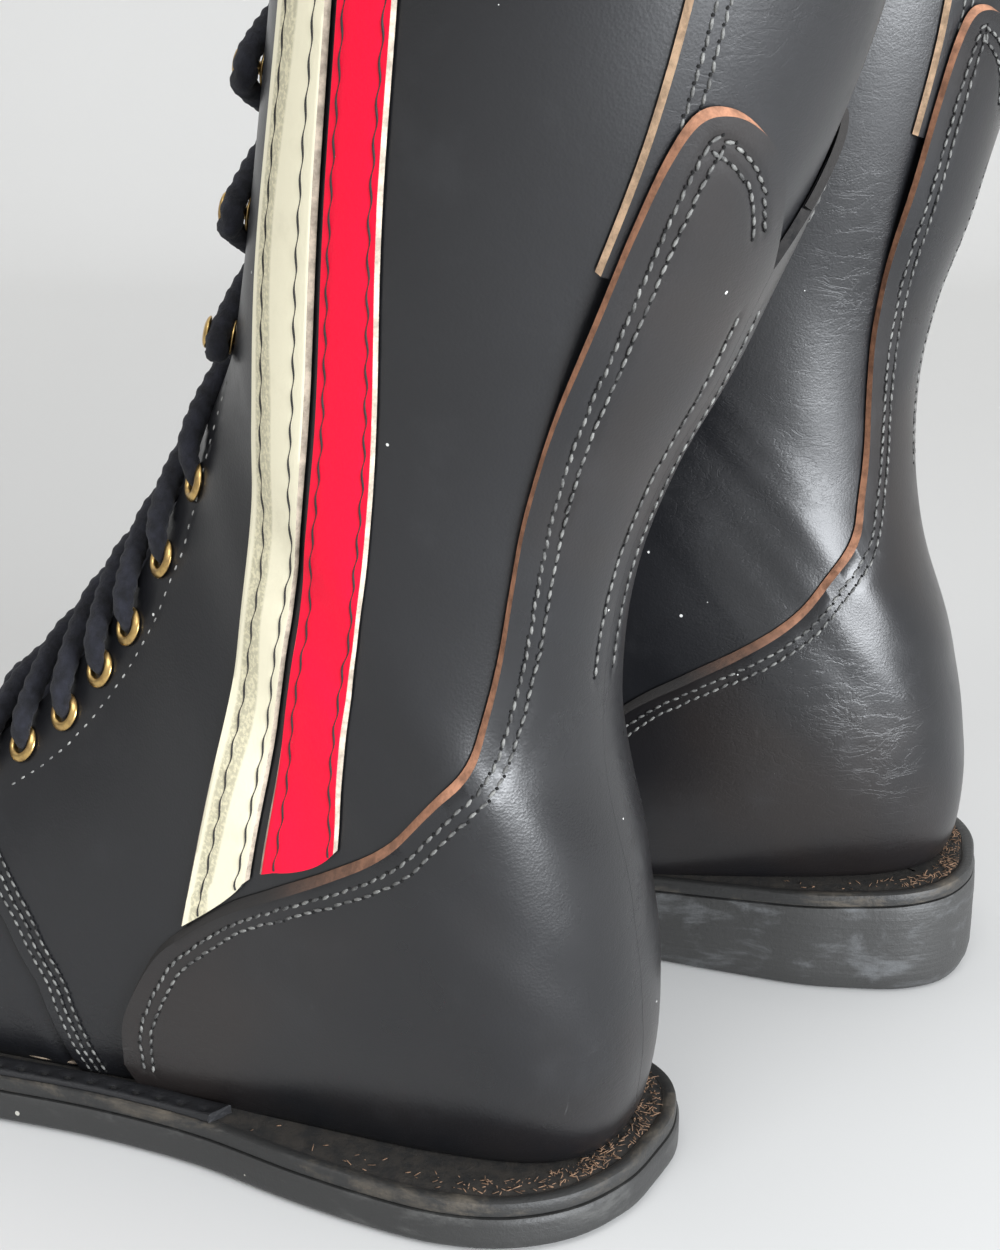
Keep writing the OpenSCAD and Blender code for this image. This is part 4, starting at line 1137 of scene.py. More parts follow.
def cover_path(side):
    return along(COVER_EDGE, np.linspace(0, 1, 160)) * [side, 1]


def over_strap(v):
    """How far a heel cover rises over the end of the back strap."""
    return 2.2 * clamped_smooth((v - STRAP_RING + 0.9) / 0.7)


def row_beside(boot, path, distance, side):
    """A stitch row beside a path, inside the piece, clear of the sole and the back seam."""
    row = boot.inset(path, -side * distance)
    p = boot.face(row[:, 0], row[:, 1])
    keep = (p[:, 2] > 2.0) & (np.abs(row[:, 0]) < ROW_REACH)
    return row[keep]


def two_rows(boot, path, side, high):
    """Places of a double row of slanted lockstitches along a path. high gives the height of
    the leather's surface at each point."""
    places, rows = [], []
    for distance, slant in zip(COVER_ROWS, (0.16, -0.12)):
        row = row_beside(boot, path, distance, side)
        rows.append(row)
        h = high(resampled(row, boot.face(row[:, 0], row[:, 1]), ROW_PITCH)[:, 1])
        places.append(stitch_places(boot, row, ROW_PITCH, h, slant * side))
    return np.concatenate(places), rows


def groove(boot, cells, rows, depth=0.4, width=1.0):
    """Lowers the cells near stitch rows."""
    p = boot.face(cells[..., 0].ravel(), cells[..., 1].ravel())
    path = np.concatenate([boot.face(r[:, 0], r[:, 1]) for r in rows])
    d = distances(p, path)
    cells[..., 2] -= (depth * np.exp(-(d / width) ** 2)).reshape(cells.shape[:2])
    return cells


# Sign of the angles and name of each side.
SIDES = ((1, "lateral"), (-1, "medial"))


class PieceMaker:
    """What every operator here shares."""
    bl_options = {"REGISTER", "UNDO"}


class BOOTS_OT_camera(PieceMaker, bpy.types.Operator):
    """Adds the camera behind the left boot's outer side"""
    bl_idname = "boots.camera"
    bl_label = "Camera"

    def execute(self, context):
        deselect()
        bpy.ops.object.camera_add(location=CAMERA_AT)
        camera = bpy.context.object
        camera.name = "Camera"
        camera.data.sensor_fit = "AUTO"
        camera.data.sensor_width = 36
        camera.data.lens = context.scene.boot_stage.lens
        camera.data.clip_start = 0.02
        camera.rotation_mode = "QUATERNION"
        camera.rotation_quaternion = Vector(CAMERA_LOOKS).to_track_quat("-Z", "Y")
        context.scene.camera = camera
        return {"FINISHED"}


class BOOTS_OT_stage(PieceMaker, bpy.types.Operator):
    """Adds the floor that rises into a backdrop, and the soft lights"""
    bl_idname = "boots.stage"
    bl_label = "Floor, backdrop and lights"

    def execute(self, context):
        steps = np.linspace(-3.2, 3.2, 65)
        reach, rise = [], []
        for t in np.linspace(-2.5, 4.2, 80):
            turn = np.clip((t - 1.6) / 1.2, 0, 1) * np.pi / 2
            last = np.maximum(t - 2.8, 0)
            reach.append(min(t, 1.6) + 1.2 / (np.pi / 2) * math.sin(turn))
            rise.append(1.2 / (np.pi / 2) * (1 - math.cos(turn)) + last)
        away = np.array([CAMERA_LOOKS[0], CAMERA_LOOKS[1]])
        away /= np.linalg.norm(away)
        across = np.array([-away[1], away[0]])
        points = np.array([[[*(away * r + across * s), z - 0.0003] for s in steps]
                           for r, z in zip(reach, rise)])
        floor, _ = grid_piece("Floor", points, [
            floor_paper("Floor paper with painted light", context.scene.boot_stage.floor)])
        smooth(floor)
        for name, place, look, size, watts, tint in LIGHTS:
            deselect()
            bpy.ops.object.light_add(type="AREA", location=place)
            light = bpy.context.object
            light.name = name
            light.data.shape = "RECTANGLE"
            light.data.size, light.data.size_y = size
            light.data.energy = watts
            light.data.color = tint
            light.rotation_mode = "QUATERNION"
            light.rotation_quaternion = (Vector(look) - Vector(place)).to_track_quat("-Z", "Y")
        world = bpy.data.worlds.new("Room")
        context.scene.world = world
        world.use_nodes = True
        n = Nodes(world.node_tree)
        background = world.node_tree.nodes["Background"]
        up = n.add("ShaderNodeSeparateXYZ", {
            0: n.add("ShaderNodeTexCoord").outputs["Generated"]}).outputs[2]
        facing = n.add("ShaderNodeVectorMath", {
            0: n.add("ShaderNodeTexCoord").outputs["Generated"], 1: ROOM_BRIGHT_SIDE},
            operation="DOT_PRODUCT").outputs["Value"]
        even = n.mix(n.span(up, -0.2, 0.9), ROOM_LOW, ROOM_HIGH)
        dim = n.mix(n.span(up, 0.1, 0.8), ROOM_DIM, ROOM_HIGH)
        n.tree.links.new(n.mix(n.span(facing, -0.75, 0.15), dim, even),
                         background.inputs["Color"])
        background.inputs["Strength"].default_value = ROOM_STRENGTH
        context.scene.view_settings.view_transform = "Standard"
        return {"FINISHED"}


class BOOTS_OT_vamps(PieceMaker, bpy.types.Operator):
    """Makes the forefoot leather, with its rear edge under the quarters"""
    bl_idname = "boots.vamps"
    bl_label = "Vamps"

    def execute(self, context):
        t = sizes().leather / MM
        for boot in BOOTS:
            u, v, ring_number = vamp_cells(high=SEAM_RING + VAMP_UNDERLAP)
            dip = -2.0 * clamped_smooth((ring_number - SEAM_RING + 0.1) / 0.12)
            cells = np.stack([u, v, dip + 0 * u], 2)
            piece = leather_panel(boot, boot.side + "_vamp_leather", cells, 0, t,
                                  [finish("upper"), finish("dyed_edge")])
            give(piece, boot.body, [boot.side + "_vamp"])
            u, v, _ = vamp_cells(0.4, SEAM_RING - 0.1, 30, 37)
            piece = leather_panel(boot, boot.side + "_vamp_lining_leather",
                                  np.stack([u, v, 0 * u], 2), LINING_TOP, LINING_T,
                                  [finish("lining"), finish("lining")], 0)
            give(piece, boot.body, [boot.side + "_vamp_lining"])
        return {"FINISHED"}


class BOOTS_OT_quarters(PieceMaker, bpy.types.Operator):
    """Makes the side and leg leather with its seam over the vamp, and the facing's stitches"""
    bl_idname = "boots.quarters"
    bl_label = "Quarters"

    def execute(self, context):
        t = sizes().leather / MM
        for boot in BOOTS:
            for side, word in SIDES:
                cells = quarter_cells(front_edge, side)
                rows = [boot.inset(lap_path(side), side * d) for d in LAP_ROWS]
                facing = along(FACING_ROW, np.linspace(0, 1, 90)) * [side, 1]
                cells = groove(boot, cells, rows + [facing], 0.35, 0.9)
                piece = leather_panel(boot, f"{boot.side}_quarter_{word}_leather", cells, 0, t,
                                      [finish("upper"), finish("dyed_edge")])
                give(piece, boot.body, [f"{boot.side}_quarter_{word}"])
                seam = []
                for k, row in enumerate(rows):
                    p = boot.face(row[:, 0], row[:, 1])
                    row = row[p[:, 2] > 1.5]
                    seam.append(stitch_places(boot, row, 2.6, 0.62 - 0.08 * k, 0.1 * side))
                piece = copies(f"{boot.side}_{word}_vamp_seam", stitch(2.1, 0.75),
                               np.concatenate(seam))
                give(piece, boot.body)
                dots = stitch_places(boot, facing, 3.4, -0.22)
                piece = copies(f"{boot.side}_{word}_facing_row", stitch(1.5, 0.6, False), dots,
                               [finish("pale_thread")])
                give(piece, boot.body)
        return {"FINISHED"}


class BOOTS_OT_linings(PieceMaker, bpy.types.Operator):
    """Makes the leg linings and the stays behind the eyelets"""
    bl_idname = "boots.linings"
    bl_label = "Linings and stays"

    def execute(self, context):
        for boot in BOOTS:
            for side, word in SIDES:
                cells = quarter_cells(
                    lambda v: front_edge(v) + LINING_WIDTH - np.minimum(v, NARROWED_RING),
                    side, 60, 34)
                cells[..., 2] = 0
                piece = leather_panel(boot, f"{boot.side}_{word}_lining_leather", cells,
                                      LINING_TOP, LINING_T, [finish("lining")] * 2, 0)
                give(piece, boot.body, [f"{boot.side}_lining_{word}"])
                v = np.linspace(SEAM_RING, PANEL_TOP, 60)[:, None]
                width = STAY_WIDTH - np.minimum(v, NARROWED_RING)
                u = front_edge(v) + width * np.linspace(0, 1, 12)[None]
                cells = np.stack([u * side, v - quarter_drop(u, v), 0 * u], 2)
                piece = leather_panel(boot, f"{boot.side}_{word}_stay_leather", cells, STAY_TOP,
                                      STAY_T, [finish("upper"), finish("dyed_edge")], 0.3)
                give(piece, boot.body, [f"{boot.side}_stay_{word}"])
        return {"FINISHED"}


class BOOTS_OT_covers(PieceMaker, bpy.types.Operator):
    """Makes the heel covers with their slanted cut edge and double rows of stitches"""
    bl_idname = "boots.covers"
    bl_label = "Heel covers"

    def execute(self, context):
        t = sizes().cover / MM + 0.3
        top = t + 0.25
        index = np.arange(len(COVER_FOOT))
        for boot in BOOTS:
            for side, word in SIDES:
                s = np.linspace(0, 1, 181)
                edge = along(COVER_EDGE, s)
                foot_v = np.interp(s * index[-1], index, COVER_FOOT[:, 1])
                foot = np.stack([np.minimum(feather(foot_v), COVER_REACH), foot_v], 1)
                share = np.concatenate([[0], np.linspace(0.13, 1, 38) ** 1.6])[None, :, None]
                length = np.linalg.norm(boot.face(*foot.T) - boot.face(*edge.T), axis=1)
                share = np.repeat(share, len(s), 0)
                share[:, 1, 0] = np.minimum(CUT_WIDTH / length, 0.02)
                grid = edge[:, None] + (foot - edge)[:, None] * share
                lift = over_strap(grid[..., 1])
                lift[:, 0] -= t - 0.35
                cells = np.stack([grid[..., 0] * side, grid[..., 1], lift], 2)
                cut = "cover_edge" if (side > 0) == (boot.side == "left") else "short_edge"
                places, rows = two_rows(boot, cover_path(side), side,
                                        lambda v: top - 0.12 + over_strap(v))
                back = np.stack([np.full(60, 174.3) * side, np.linspace(15.3, 13.4, 60)], 1)
                cells = groove(boot, cells, rows + [back])
                piece = leather_panel(
                    boot, f"{boot.side}_heel_cover_{word}_leather", cells, top, t,
                    [finish("cover"), finish(cut), finish("dyed_edge")], 0, cut_columns=(0,))
                give(piece, boot.body, [f"{boot.side}_heel_cover_{word}"])
                at = resampled(back, boot.face(back[:, 0], back[:, 1]), ROW_PITCH)
                down = stitch_places(boot, back, ROW_PITCH,
                                     top - 0.12 + over_strap(at[:, 1]))
                piece = copies(f"{boot.side}_{word}_cover_rows", stitch(2.45, 0.85),
                               np.concatenate([places, down]))
                give(piece, boot.body)
        return {"FINISHED"}


class BOOTS_OT_straps(PieceMaker, bpy.types.Operator):
    """Makes the straps up the back of the legs, with pale cut edges"""
    bl_idname = "boots.straps"
    bl_label = "Back straps"

    def execute(self, context):
        t = sizes().cover / MM
        top = t + 0.25
        for boot in BOOTS:
            v = np.linspace(STRAP_RING, PANEL_TOP, 60)[:, None]
            inner = np.linspace(STRAP_EDGE + 1, 359 - STRAP_EDGE, 49)
            u = np.concatenate([[STRAP_EDGE], inner, [360 - STRAP_EDGE]])[None] + 0 * v
            lift = 0 * u
            lift[:, 0] = lift[:, -1] = 0.35 - t
            cells = np.stack([u, v + 0 * u, lift], 2)
            places, rows = [], []
            for side in (1, -1):
                middle = 180 - side * (180 - STRAP_EDGE)
                path = np.stack([np.full(120, float(middle)),
                                 np.linspace(STRAP_RING, PANEL_TOP - 0.05, 120)], 1)
                for distance in STRAP_ROWS:
                    row = boot.inset(path, -side * distance)
                    rows.append(row)
                    places.append(stitch_places(boot, row, ROW_PITCH, top - 0.1,
                                                0.15 * side))
            cells = groove(boot, cells, rows, 0.3)
            piece = leather_panel(boot, boot.side + "_back_strap_leather", cells, top, t,
                                  [finish("strap"), finish("strap_edge"), finish("dyed_edge")],
                                  0, cut_columns=(0, -1))
            give(piece, boot.body, [boot.side + "_back_strap"])
            piece = copies(boot.side + "_strap_rows", stitch(2.4, 0.8), np.concatenate(places))
            give(piece, boot.body)
        return {"FINISHED"}


class BOOTS_OT_stripes(PieceMaker, bpy.types.Operator):
    """Makes the two stripes up the outer sides, sewn with long wavy stitches"""
    bl_idname = "boots.stripes"
    bl_label = "Stripes"

    def execute(self, context):
        t = sizes().stripe / MM
        top = t + 0.3
        for boot in BOOTS:
            for word, front, back, seams, kind in STRIPES:
                s = np.linspace(0, 1, 170)
                f, b = along(front, s), along(back, s)
                f, b = boot.on_side(f[:, 0], f[:, 1]), boot.on_side(b[:, 0], b[:, 1])
                r = np.concatenate([[0, 0.04], np.linspace(0.08, 0.92, 23), [0.96, 1]])
                grid = f[:, None] + (b - f)[:, None] * r[None, :, None]
                grid[..., 1] = np.minimum(grid[..., 1], PANEL_TOP)
                cells = np.concatenate([grid, 0 * grid[..., :1]], 2)
                cells[:, 0, 2] = cells[:, -1, 2] = 0.25 - t
                rows = [f + (b - f) * share for share in seams]
                for row in rows:
                    row[:, 1] = np.minimum(row[:, 1], PANEL_TOP)
                cells = groove(boot, cells, rows, 0.1, 0.6)
                piece = leather_panel(
                    boot, f"{boot.side}_{word}_stripe_leather", cells, top, t,
                    [finish(kind), finish("raw_edge"), finish("dyed_edge")], 0,
                    cut_columns=(0, -1))
                give(piece, boot.body, [f"{boot.side}_stripe_{word}"])
                for k, row in enumerate(rows):
                    at = resampled(row, boot.face(row[:, 0], row[:, 1]), 0.9)
                    phase = 2 * np.pi * np.arange(len(at)) * 0.9 / 7.4
                    wavy = boot.inset(at, 1.0)
                    swing = (0.28 * np.sin(phase))[:, None]
                    at = at + (wavy - at) * swing
                    h = top - 0.06 + 0.08 * np.cos(phase)
                    path = boot.world(boot.skin(at[:, 0], at[:, 1], h))
                    radius = 0.21 + 0.06 * np.cos(phase)
                    piece = tube(f"{boot.side}_{word}_stripe_row_{k + 1}", path, radius,
                                 [finish("dark_thread")], 6)
                    give(piece, boot.body)
        return {"FINISHED"}


class BOOTS_OT_tongues(PieceMaker, bpy.types.Operator):
    """Makes the tongues"""
    bl_idname = "boots.tongues"
    bl_label = "Tongues"

    def execute(self, context):
        for boot in BOOTS:
            v = np.linspace(5.5, 18, 90)[:, None]
            u = (front_edge(v) + 12) * np.linspace(-1, 1, 33)[None]
            sag = 0.35 * np.sin(5 * v + 0.03 * u) * np.cos(np.radians(2 * u))
            cells = np.stack([u, v + 0 * u, sag], 2)
            piece = leather_panel(boot, boot.side + "_tongue_leather", cells, TONGUE_TOP,
                                  TONGUE_T, [finish("upper"), finish("dyed_edge")], 0.4)
            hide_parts(boot.side + "_tongue")
            ends = boot.world(np.array(TONGUE_FOLD, float))
            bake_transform(piece)
        return {"FINISHED"}


class BOOTS_OT_bindings(PieceMaker, bpy.types.Operator):
    """Makes the folded edge round the top of each leg"""
    bl_idname = "boots.bindings"
    bl_label = "Top bindings"

    def execute(self, context):
        for boot in BOOTS:
            start = front_edge(TOP_RING)
            v = np.linspace(BINDING_RING, TOP_RING, 7)[:, None]
            u = np.linspace(start, 360 - start, 150)[None]
            cells = np.stack([u + 0 * v, v + 0 * u, 0 * u * v], 2)
            piece = leather_panel(boot, boot.side + "_top_binding_leather", cells, 0.25, 5.3,
                                  [finish("strap")] * 2, 1.1)
            give(piece, boot.body, [boot.side + "_top_binding"])
            row = np.stack([np.linspace(start + 1, 359 - start, 500),
                            np.full(500, BINDING_RING + 0.045)], 1)
            piece = copies(boot.side + "_binding_row", stitch(2.2, 0.6),
                           stitch_places(boot, row, 3.0, 0.3))
            give(piece, boot.body)
        return {"FINISHED"}


def outline_ring(grow, steps=12):
    p = sole_outline(grow, steps)
    return np.concatenate([p, p[:1]])


def edge_noise(n, size, seed):
    """Smooth closed unevenness for a ring of n points."""
    rng = np.random.default_rng(seed)
    a = np.linspace(0, 2 * np.pi, n)
    waves = [rng.normal() * np.sin(k * a + rng.uniform(0, 6.28)) / k ** 0.5
             for k in (3, 5, 9, 17, 31, 47, 71)]
    made = size * sum(waves) / 3
    made[-1] = made[0]
    return made


class BOOTS_OT_soles(PieceMaker, bpy.types.Operator):
    """Makes the flat left sole, the right wedge sole and the midsoles with their rough rim"""
    bl_idname = "boots.soles"
    bl_label = "Soles"

    def execute(self, context):
        for boot in BOOTS:
            left = boot.side == "left"
            n = len(outline_ring(0))
            flat = LEFT_H - MIDSOLE_T
            rows = []
            for k, (grow, share) in enumerate(OUTSOLE_EDGE):
                p = outline_ring(grow)
                p = p + (edge_noise(n, 0.1, 30 + k) * (0 < share < 1))[:, None]
                if left:
                    z = np.full(n, flat * share)
                else:
                    z = share * (WEDGE_H - MIDSOLE_T / math.cos(WEDGE_SLOPE)
                                 + p[:, 1] * math.tan(WEDGE_SLOPE))
                rows.append(boot.level(np.column_stack([p, z])))
            rows = np.array(rows)
            rows[:, -1] = rows[:, 0]
            piece = lofted(boot.side + "_outsole_rubber", rows,
                           [finish("sole" if left else "wedge")], angle=40)
            give(piece, boot.body, [boot.side + "_outsole"])
            rows = []
            for k, (grow, z, rough) in enumerate(MIDSOLE_EDGE):
                p = outline_ring(grow - MIDSOLE_STEP)
                high = z + edge_noise(n, rough, 50 + k)
                rows.append(boot.world(np.column_stack([p, high])))
            rows = np.array(rows)
            rows[:, -1] = rows[:, 0]
            piece = lofted(boot.side + "_midsole_rubber", rows,
                           [finish("midsole"), finish("rim_glue")], angle=40)
            inner_rim(piece)
            give(piece, boot.body, [boot.side + "_midsole"])
            self.fibres(boot)
        return {"FINISHED"}

    def fibres(self, boot):
        """Loose brown fibres along the rim behind the heel."""
        rng = boot.rng
        n = 420
        p = outline_ring(0, 12)
        s = length_along(p)
        at = (rng.normal(0, 34, n) + 6) % s[-1]
        inwards = 4.5 + rng.uniform(0, 5.5, n)
        line = np.stack([np.interp(at, s, p[:, k]) for k in (0, 1)], 1)
        ahead = np.stack([np.interp((at + 1) % s[-1], s, p[:, k]) for k in (0, 1)], 1)
        t = unit_rows(ahead - line)
        line = line - inwards[:, None] * np.stack([-t[:, 1], t[:, 0]], 1)
        centre = boot.world(np.column_stack([line, rng.uniform(-0.1, 0.7, n)]))
        x = unit_rows(rng.normal(0, 1, (n, 3)) * [1, 1, 0.45])
        side = unit_rows(np.cross([0.1, 0.2, 1.0], x))
        stretch = rng.uniform(0.5, 1.5, n)[:, None]
        places = np.stack([x * stretch, side, np.cross(x, side), centre], 2)
        base = stitch(1.9, 0.26, False)
        piece = copies(boot.side + "_rim_fibres", base, places, [finish("rim_fibre")])
        give(piece, boot.body)


def inner_rim(piece):
    """Gives the rough part of the midsole's top the second material."""
    uv = piece.data.uv_layers.active.data
    edge = sum(math.dist(a[:2], b[:2]) for a, b in zip(
        MIDSOLE_EDGE[:ROUGH_FROM], MIDSOLE_EDGE[1:ROUGH_FROM + 1]))
    for polygon in piece.data.polygons:
        high = sum(uv[k].uv[1] for k in polygon.loop_indices) / polygon.loop_total
        if high > (edge + 0.2) * MM:
            polygon.material_index = 1


class BOOTS_OT_welts(PieceMaker, bpy.types.Operator):
    """Makes the welt strips with their row of pits, and the pale line at the feather"""
    bl_idname = "boots.welts"
    bl_label = "Welts"

    def execute(self, context):
        for boot in BOOTS:
            p = sole_outline(-MIDSOLE_STEP - 0.6, 24)
            s = length_along(np.concatenate([p, p[:1]]))
            start = np.argmax(-p[:len(p) // 2, 1] > WELT_END)
            stop = len(p) - np.argmax(-p[::-1, 1] > WELT_END)
            along_rim = p[start:stop]
            line = resampled(along_rim, along_rim, 0.9)
            t = unit_rows(np.gradient(line, axis=0))
            inwards = np.stack([t[:, 1], -t[:, 0]], 1)
            run = length_along(line)
            rows = []
            for d, z in WELT_PROFILE:
                pit = np.exp(-((d - 2.4) / 0.8) ** 2) * np.exp(
                    -(((run % PIT_PITCH) - PIT_PITCH / 2) / 1.2) ** 2) * (z > 0.5)
                ends = np.exp(-np.minimum(run, run[-1] - run) / 5)
                curl = 0.9 * ends * (z > 0.5)
                back = 2.2 * ends * d / 7
                at = line + inwards * d - t * back[:, None] * np.where(
                    run < run[-1] / 2, 1, -1)[:, None]
                rows.append(boot.world(np.column_stack([at, z - 0.75 * pit + curl])))
            rows.append(rows[0])
            points = np.stack(rows, 1)
            piece = lofted(boot.side + "_welt_strip", points, [finish("welt")], angle=60)
            give(piece, boot.body, [boot.side + "_welt"])
            # Near-black blobs set down in the welt's pits: painted shade in the pits.
            pits = np.arange(PIT_PITCH / 2, run[-1], PIT_PITCH)
            at = np.stack([np.interp(pits, run, (line + inwards * 2.4)[:, k]) for k in (0, 1)], 1)
            ahead = np.stack([np.interp(pits, run, t[:, k]) for k in (0, 1)], 1)
            x = boot.world(np.column_stack([at + ahead, np.full(len(at), 1.1)]))
            centre = boot.world(np.column_stack([at, np.full(len(at), 1.1)]))
            high = boot.world(np.column_stack([at, np.full(len(at), 2.1)])) - centre
            x, high = unit_rows(x - centre), unit_rows(high)
            places = np.stack([x, np.cross(high, x), high, centre], 2)
            piece = copies(boot.side + "_welt_pit_shade", stitch(2.4, 1.0, False), places,
                           [finish("painted_puncture_shade")])
            give(piece, boot.body)
            v = np.linspace(1.2, 9.4, 300)
            for side, word in SIDES:
                path = boot.face(feather(v) * side, v)
                path[:, :2] += 0.5 * np.sign(path[:, :1]) * [1, 0]
                path[:, 2] = 1.75 + 0.25 * np.sin(v * 9)
                piece = tube(f"{boot.side}_{word}_feather_line", boot.world(path),
                             0.34 + 0.1 * np.sin(v * 23), [finish("feather_line")], 6)
                give(piece, boot.body)
        return {"FINISHED"}


class BOOTS_OT_fittings(PieceMaker, bpy.types.Operator):
    """Makes the brass eyelets and the lacing hooks"""
    bl_idname = "boots.fittings"
    bl_label = "Eyelets and hooks"

    def execute(self, context):
        for boot in BOOTS:
            for word, places, profile in (
                    ("eyelets", EYELETS, EYELET_PROFILE),
                    ("lace_hooks", HOOKS, HOOK_PROFILE)):
                base = lathed(word, profile, [finish("brass")], 28, word == "eyelets")
                spots = np.array([(side * u, v) for u, v in places for side in (1, -1)], float)
                local = boot.face(spots[:, 0], spots[:, 1])
                frames = standing(boot, spots[:, 0], spots[:, 1], 0.15)
                frames[:, :, 3] = boot.world(local + 0.15 * boot.outward(*spots.T))
                piece = copies(f"{boot.side}_brass_{word}", base, frames)
                give(piece, boot.body, [f"{boot.side}_{word}"])
        return {"FINISHED"}


def lace_half(start, r):
    """Half of the lace, rows of [angle, ring, height, radius]: out of each eyelet, over the
    open front, under the far edge, and above the last eyelet round the hooks."""
    rows, n = EYELETS + HOOKS, len(EYELETS)
    over, flat = r + 0.3, 1.3
    high = over - 0.4
    low = high - 2 * r - 0.4
    made = [(start, BAR_RING, high, r), (start * 16, BAR_RING, high, r)]
    for k in range(n):
        s = start * (1 if k % 2 == 0 else -1)
        u, v = rows[k]
        v2 = rows[k + 1][1]
        edge = front_edge(v + (v2 - v) * 0.8)
        h = high if s > 0 else low
        hooked = k == n - 1
        made += [(s * u, v, -0.6, flat + 0.6),
                 (s * (u - 6), v + (v2 - v) * 0.18, over, r * 0.9),
                 (s * edge / 3, v + (v2 - v) * 0.42, h, r),
                 (-s * edge / 3, v + (v2 - v) * 0.6, h, r),
                 (-s * (edge - 1), v + (v2 - v) * 0.78, over if hooked else LACE_UNDER,
                  r if hooked else flat)]
    for k in range(n, len(rows)):
        s = start * (1 if k % 2 == 0 else -1)
        u, v = rows[k]
        last = k == len(rows) - 1
        dv = 0.5 if last else rows[k + 1][1] - v
        h = high if s > 0 else low
        made += [(s * (u + 2), v - 0.16, over, r * 0.9), (s * (u + 7), v, over + 0.3, r * 0.9),
                 (s * (u + 1), v + 0.17, over, r * 0.9),
                 (s * 7, 17.42, h, r * 0.7) if last else (0, v + dv / 2, h, r)]
    return np.array(made, float)


def lace_tail(s, r):
    high = r - 0.1 + 1
    return np.array([(s * 7, KNOT_RING, high, r * 0.8), (s * 14, 17.64, r + 1.1, r),
                     (s * 24, 17.5, r + 0.6, r), (s * 33, 17.2, r + 0.6, r),
                     (s * 40, 16.8, r + 0.6, r * 0.8)], float)


class BOOTS_OT_laces(PieceMaker, bpy.types.Operator):
    """Makes the thick cotton laces with their knots, tails and tips"""
    bl_idname = "boots.laces"
    bl_label = "Laces"

    def execute(self, context):
        r = sizes().lace / MM / 2
        for boot in BOOTS:
            strings = [(f"half_{k + 1}", lace_half(s, r)) for k, s in enumerate((1, -1))]
            strings += [(f"tail_{k + 1}", lace_tail(s, r)) for k, s in enumerate((1, -1))]
            for word, rows in strings:
                dense = along(np.column_stack([boot.above(rows), rows[:, 3]]),
                              np.linspace(0, 1, 24 * len(rows)))
                even = resampled(dense, dense[:, :3], 0.85)
                piece = tube(f"{boot.side}_lace_{word}", boot.world(even[:, :3]), even[:, 3],
                             [finish("lace")], 14, 0.2, 13.0)
                give(piece, boot.body, [boot.side + "_lace"])
            self.knot(boot, r)
            self.tips(boot, r)
        return {"FINISHED"}

    def knot(self, boot, r):
        """Three turns of lace pulled into a small flat knot."""
        a = np.linspace(0, 6 * np.pi, 130)
        turn = np.stack([3.6 * np.cos(a), 2.2 * np.sin(a) + 1.1 * np.sin(a / 3),
                         1.2 * np.cos(a * 2 / 3)], 1) * MM
        frame = standing(boot, np.array([0.0]), np.array([KNOT_RING]), r + 0.9)[0]
        path = turn @ frame[:, :3].T + frame[:, 3]
        piece = tube(boot.side + "_lace_knot", path, 1.7, [finish("lace")], 12, 0.18, 10.0)
        give(piece, boot.body)

    def tips(self, boot, r):
        places = []
        for s in (1, -1):
            rows = lace_tail(s, r)
            p = boot.world(boot.above(rows))
            z = unit_rows(p[4:5] - p[3:4])[0]
            x = unit_rows(np.cross([z], [[0.3, 0.2, 0.9]]))[0]
            places.append(np.stack([x, np.cross(z, x), z, p[4]], 1))
        profile = [(0, -0.6), (1.7, -0.6), (1.78, 0), (1.7, 0.5), (1.65, 14.8), (1.45, 15.8),
                   (0.9, 16.1), (0, 16.2)]
        base = lathed("tips", profile, [finish("aglet")], 20)
        piece = copies(boot.side + "_lace_tips", base, places)
        give(piece, boot.body, [boot.side + "_aglets"])


INNER_FINISHES = {"shank": "steel", "filler": "cork", "insole": "board", "sock_liner": "lining",
                  "toe_puff": "board", "heel_stiffener": "board"}


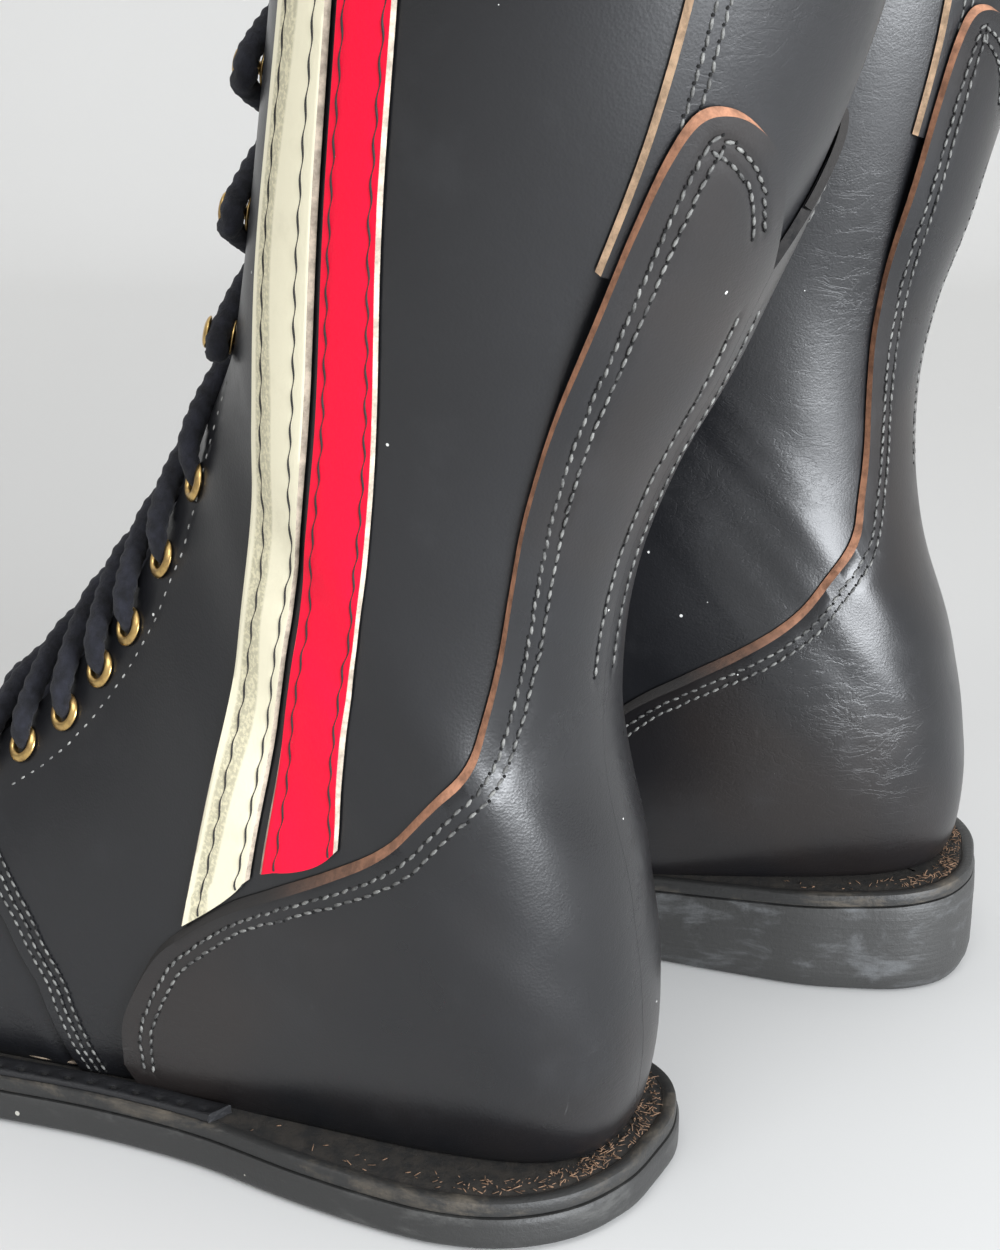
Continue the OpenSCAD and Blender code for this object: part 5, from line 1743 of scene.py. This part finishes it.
class BOOTS_OT_inner_parts(PieceMaker, bpy.types.Operator):
    """Gives the parts inside the boots their finishes"""
    bl_idname = "boots.inner_parts"
    bl_label = "Inner parts"

    def execute(self, context):
        for boot in BOOTS:
            for word, kind in INNER_FINISHES.items():
                piece = frame["nodes"][f"{boot.side}_{word}"]
                if not piece.material_slots:
                    piece.data.materials.append(finish(kind))
                for place in piece.material_slots:
                    place.material = finish(kind)
        return {"FINISHED"}


# ------------------------------------------------------------------ panel and registration

STEPS = (BOOTS_OT_camera, BOOTS_OT_laces, BOOTS_OT_stage, BOOTS_OT_vamps, BOOTS_OT_quarters,
         BOOTS_OT_linings, BOOTS_OT_covers, BOOTS_OT_straps, BOOTS_OT_stripes,
         BOOTS_OT_tongues, BOOTS_OT_bindings, BOOTS_OT_soles, BOOTS_OT_welts,
         BOOTS_OT_fittings, BOOTS_OT_inner_parts)


class BOOTS_PT_panel(bpy.types.Panel):
    bl_label = "Boxing Boots"
    bl_idname = "BOOTS_PT_panel"
    bl_space_type = "VIEW_3D"
    bl_region_type = "UI"
    bl_category = "Boots"

    def draw(self, context):
        for settings in (context.scene.boot_sizes, context.scene.boot_colours,
                         context.scene.boot_stage):
            for key in settings.__annotations__:
                self.layout.prop(settings, key)
        for step in STEPS:
            self.layout.operator(step.bl_idname)


CLASSES = (BootSizes, BootColours, StageSettings) + STEPS + (BOOTS_PT_panel,)


def register():
    for kind in CLASSES:
        bpy.utils.register_class(kind)
    bpy.types.Scene.boot_sizes = bpy.props.PointerProperty(type=BootSizes)
    bpy.types.Scene.boot_colours = bpy.props.PointerProperty(type=BootColours)
    bpy.types.Scene.boot_stage = bpy.props.PointerProperty(type=StageSettings)


def unregister():
    del bpy.types.Scene.boot_sizes, bpy.types.Scene.boot_colours, bpy.types.Scene.boot_stage
    for kind in reversed(CLASSES):
        bpy.utils.unregister_class(kind)


def main():
    register()
    for step in STEPS:
        package, name = step.bl_idname.split(".")
        getattr(getattr(bpy.ops, package), name)()


if __name__ == "__main__":
    main()
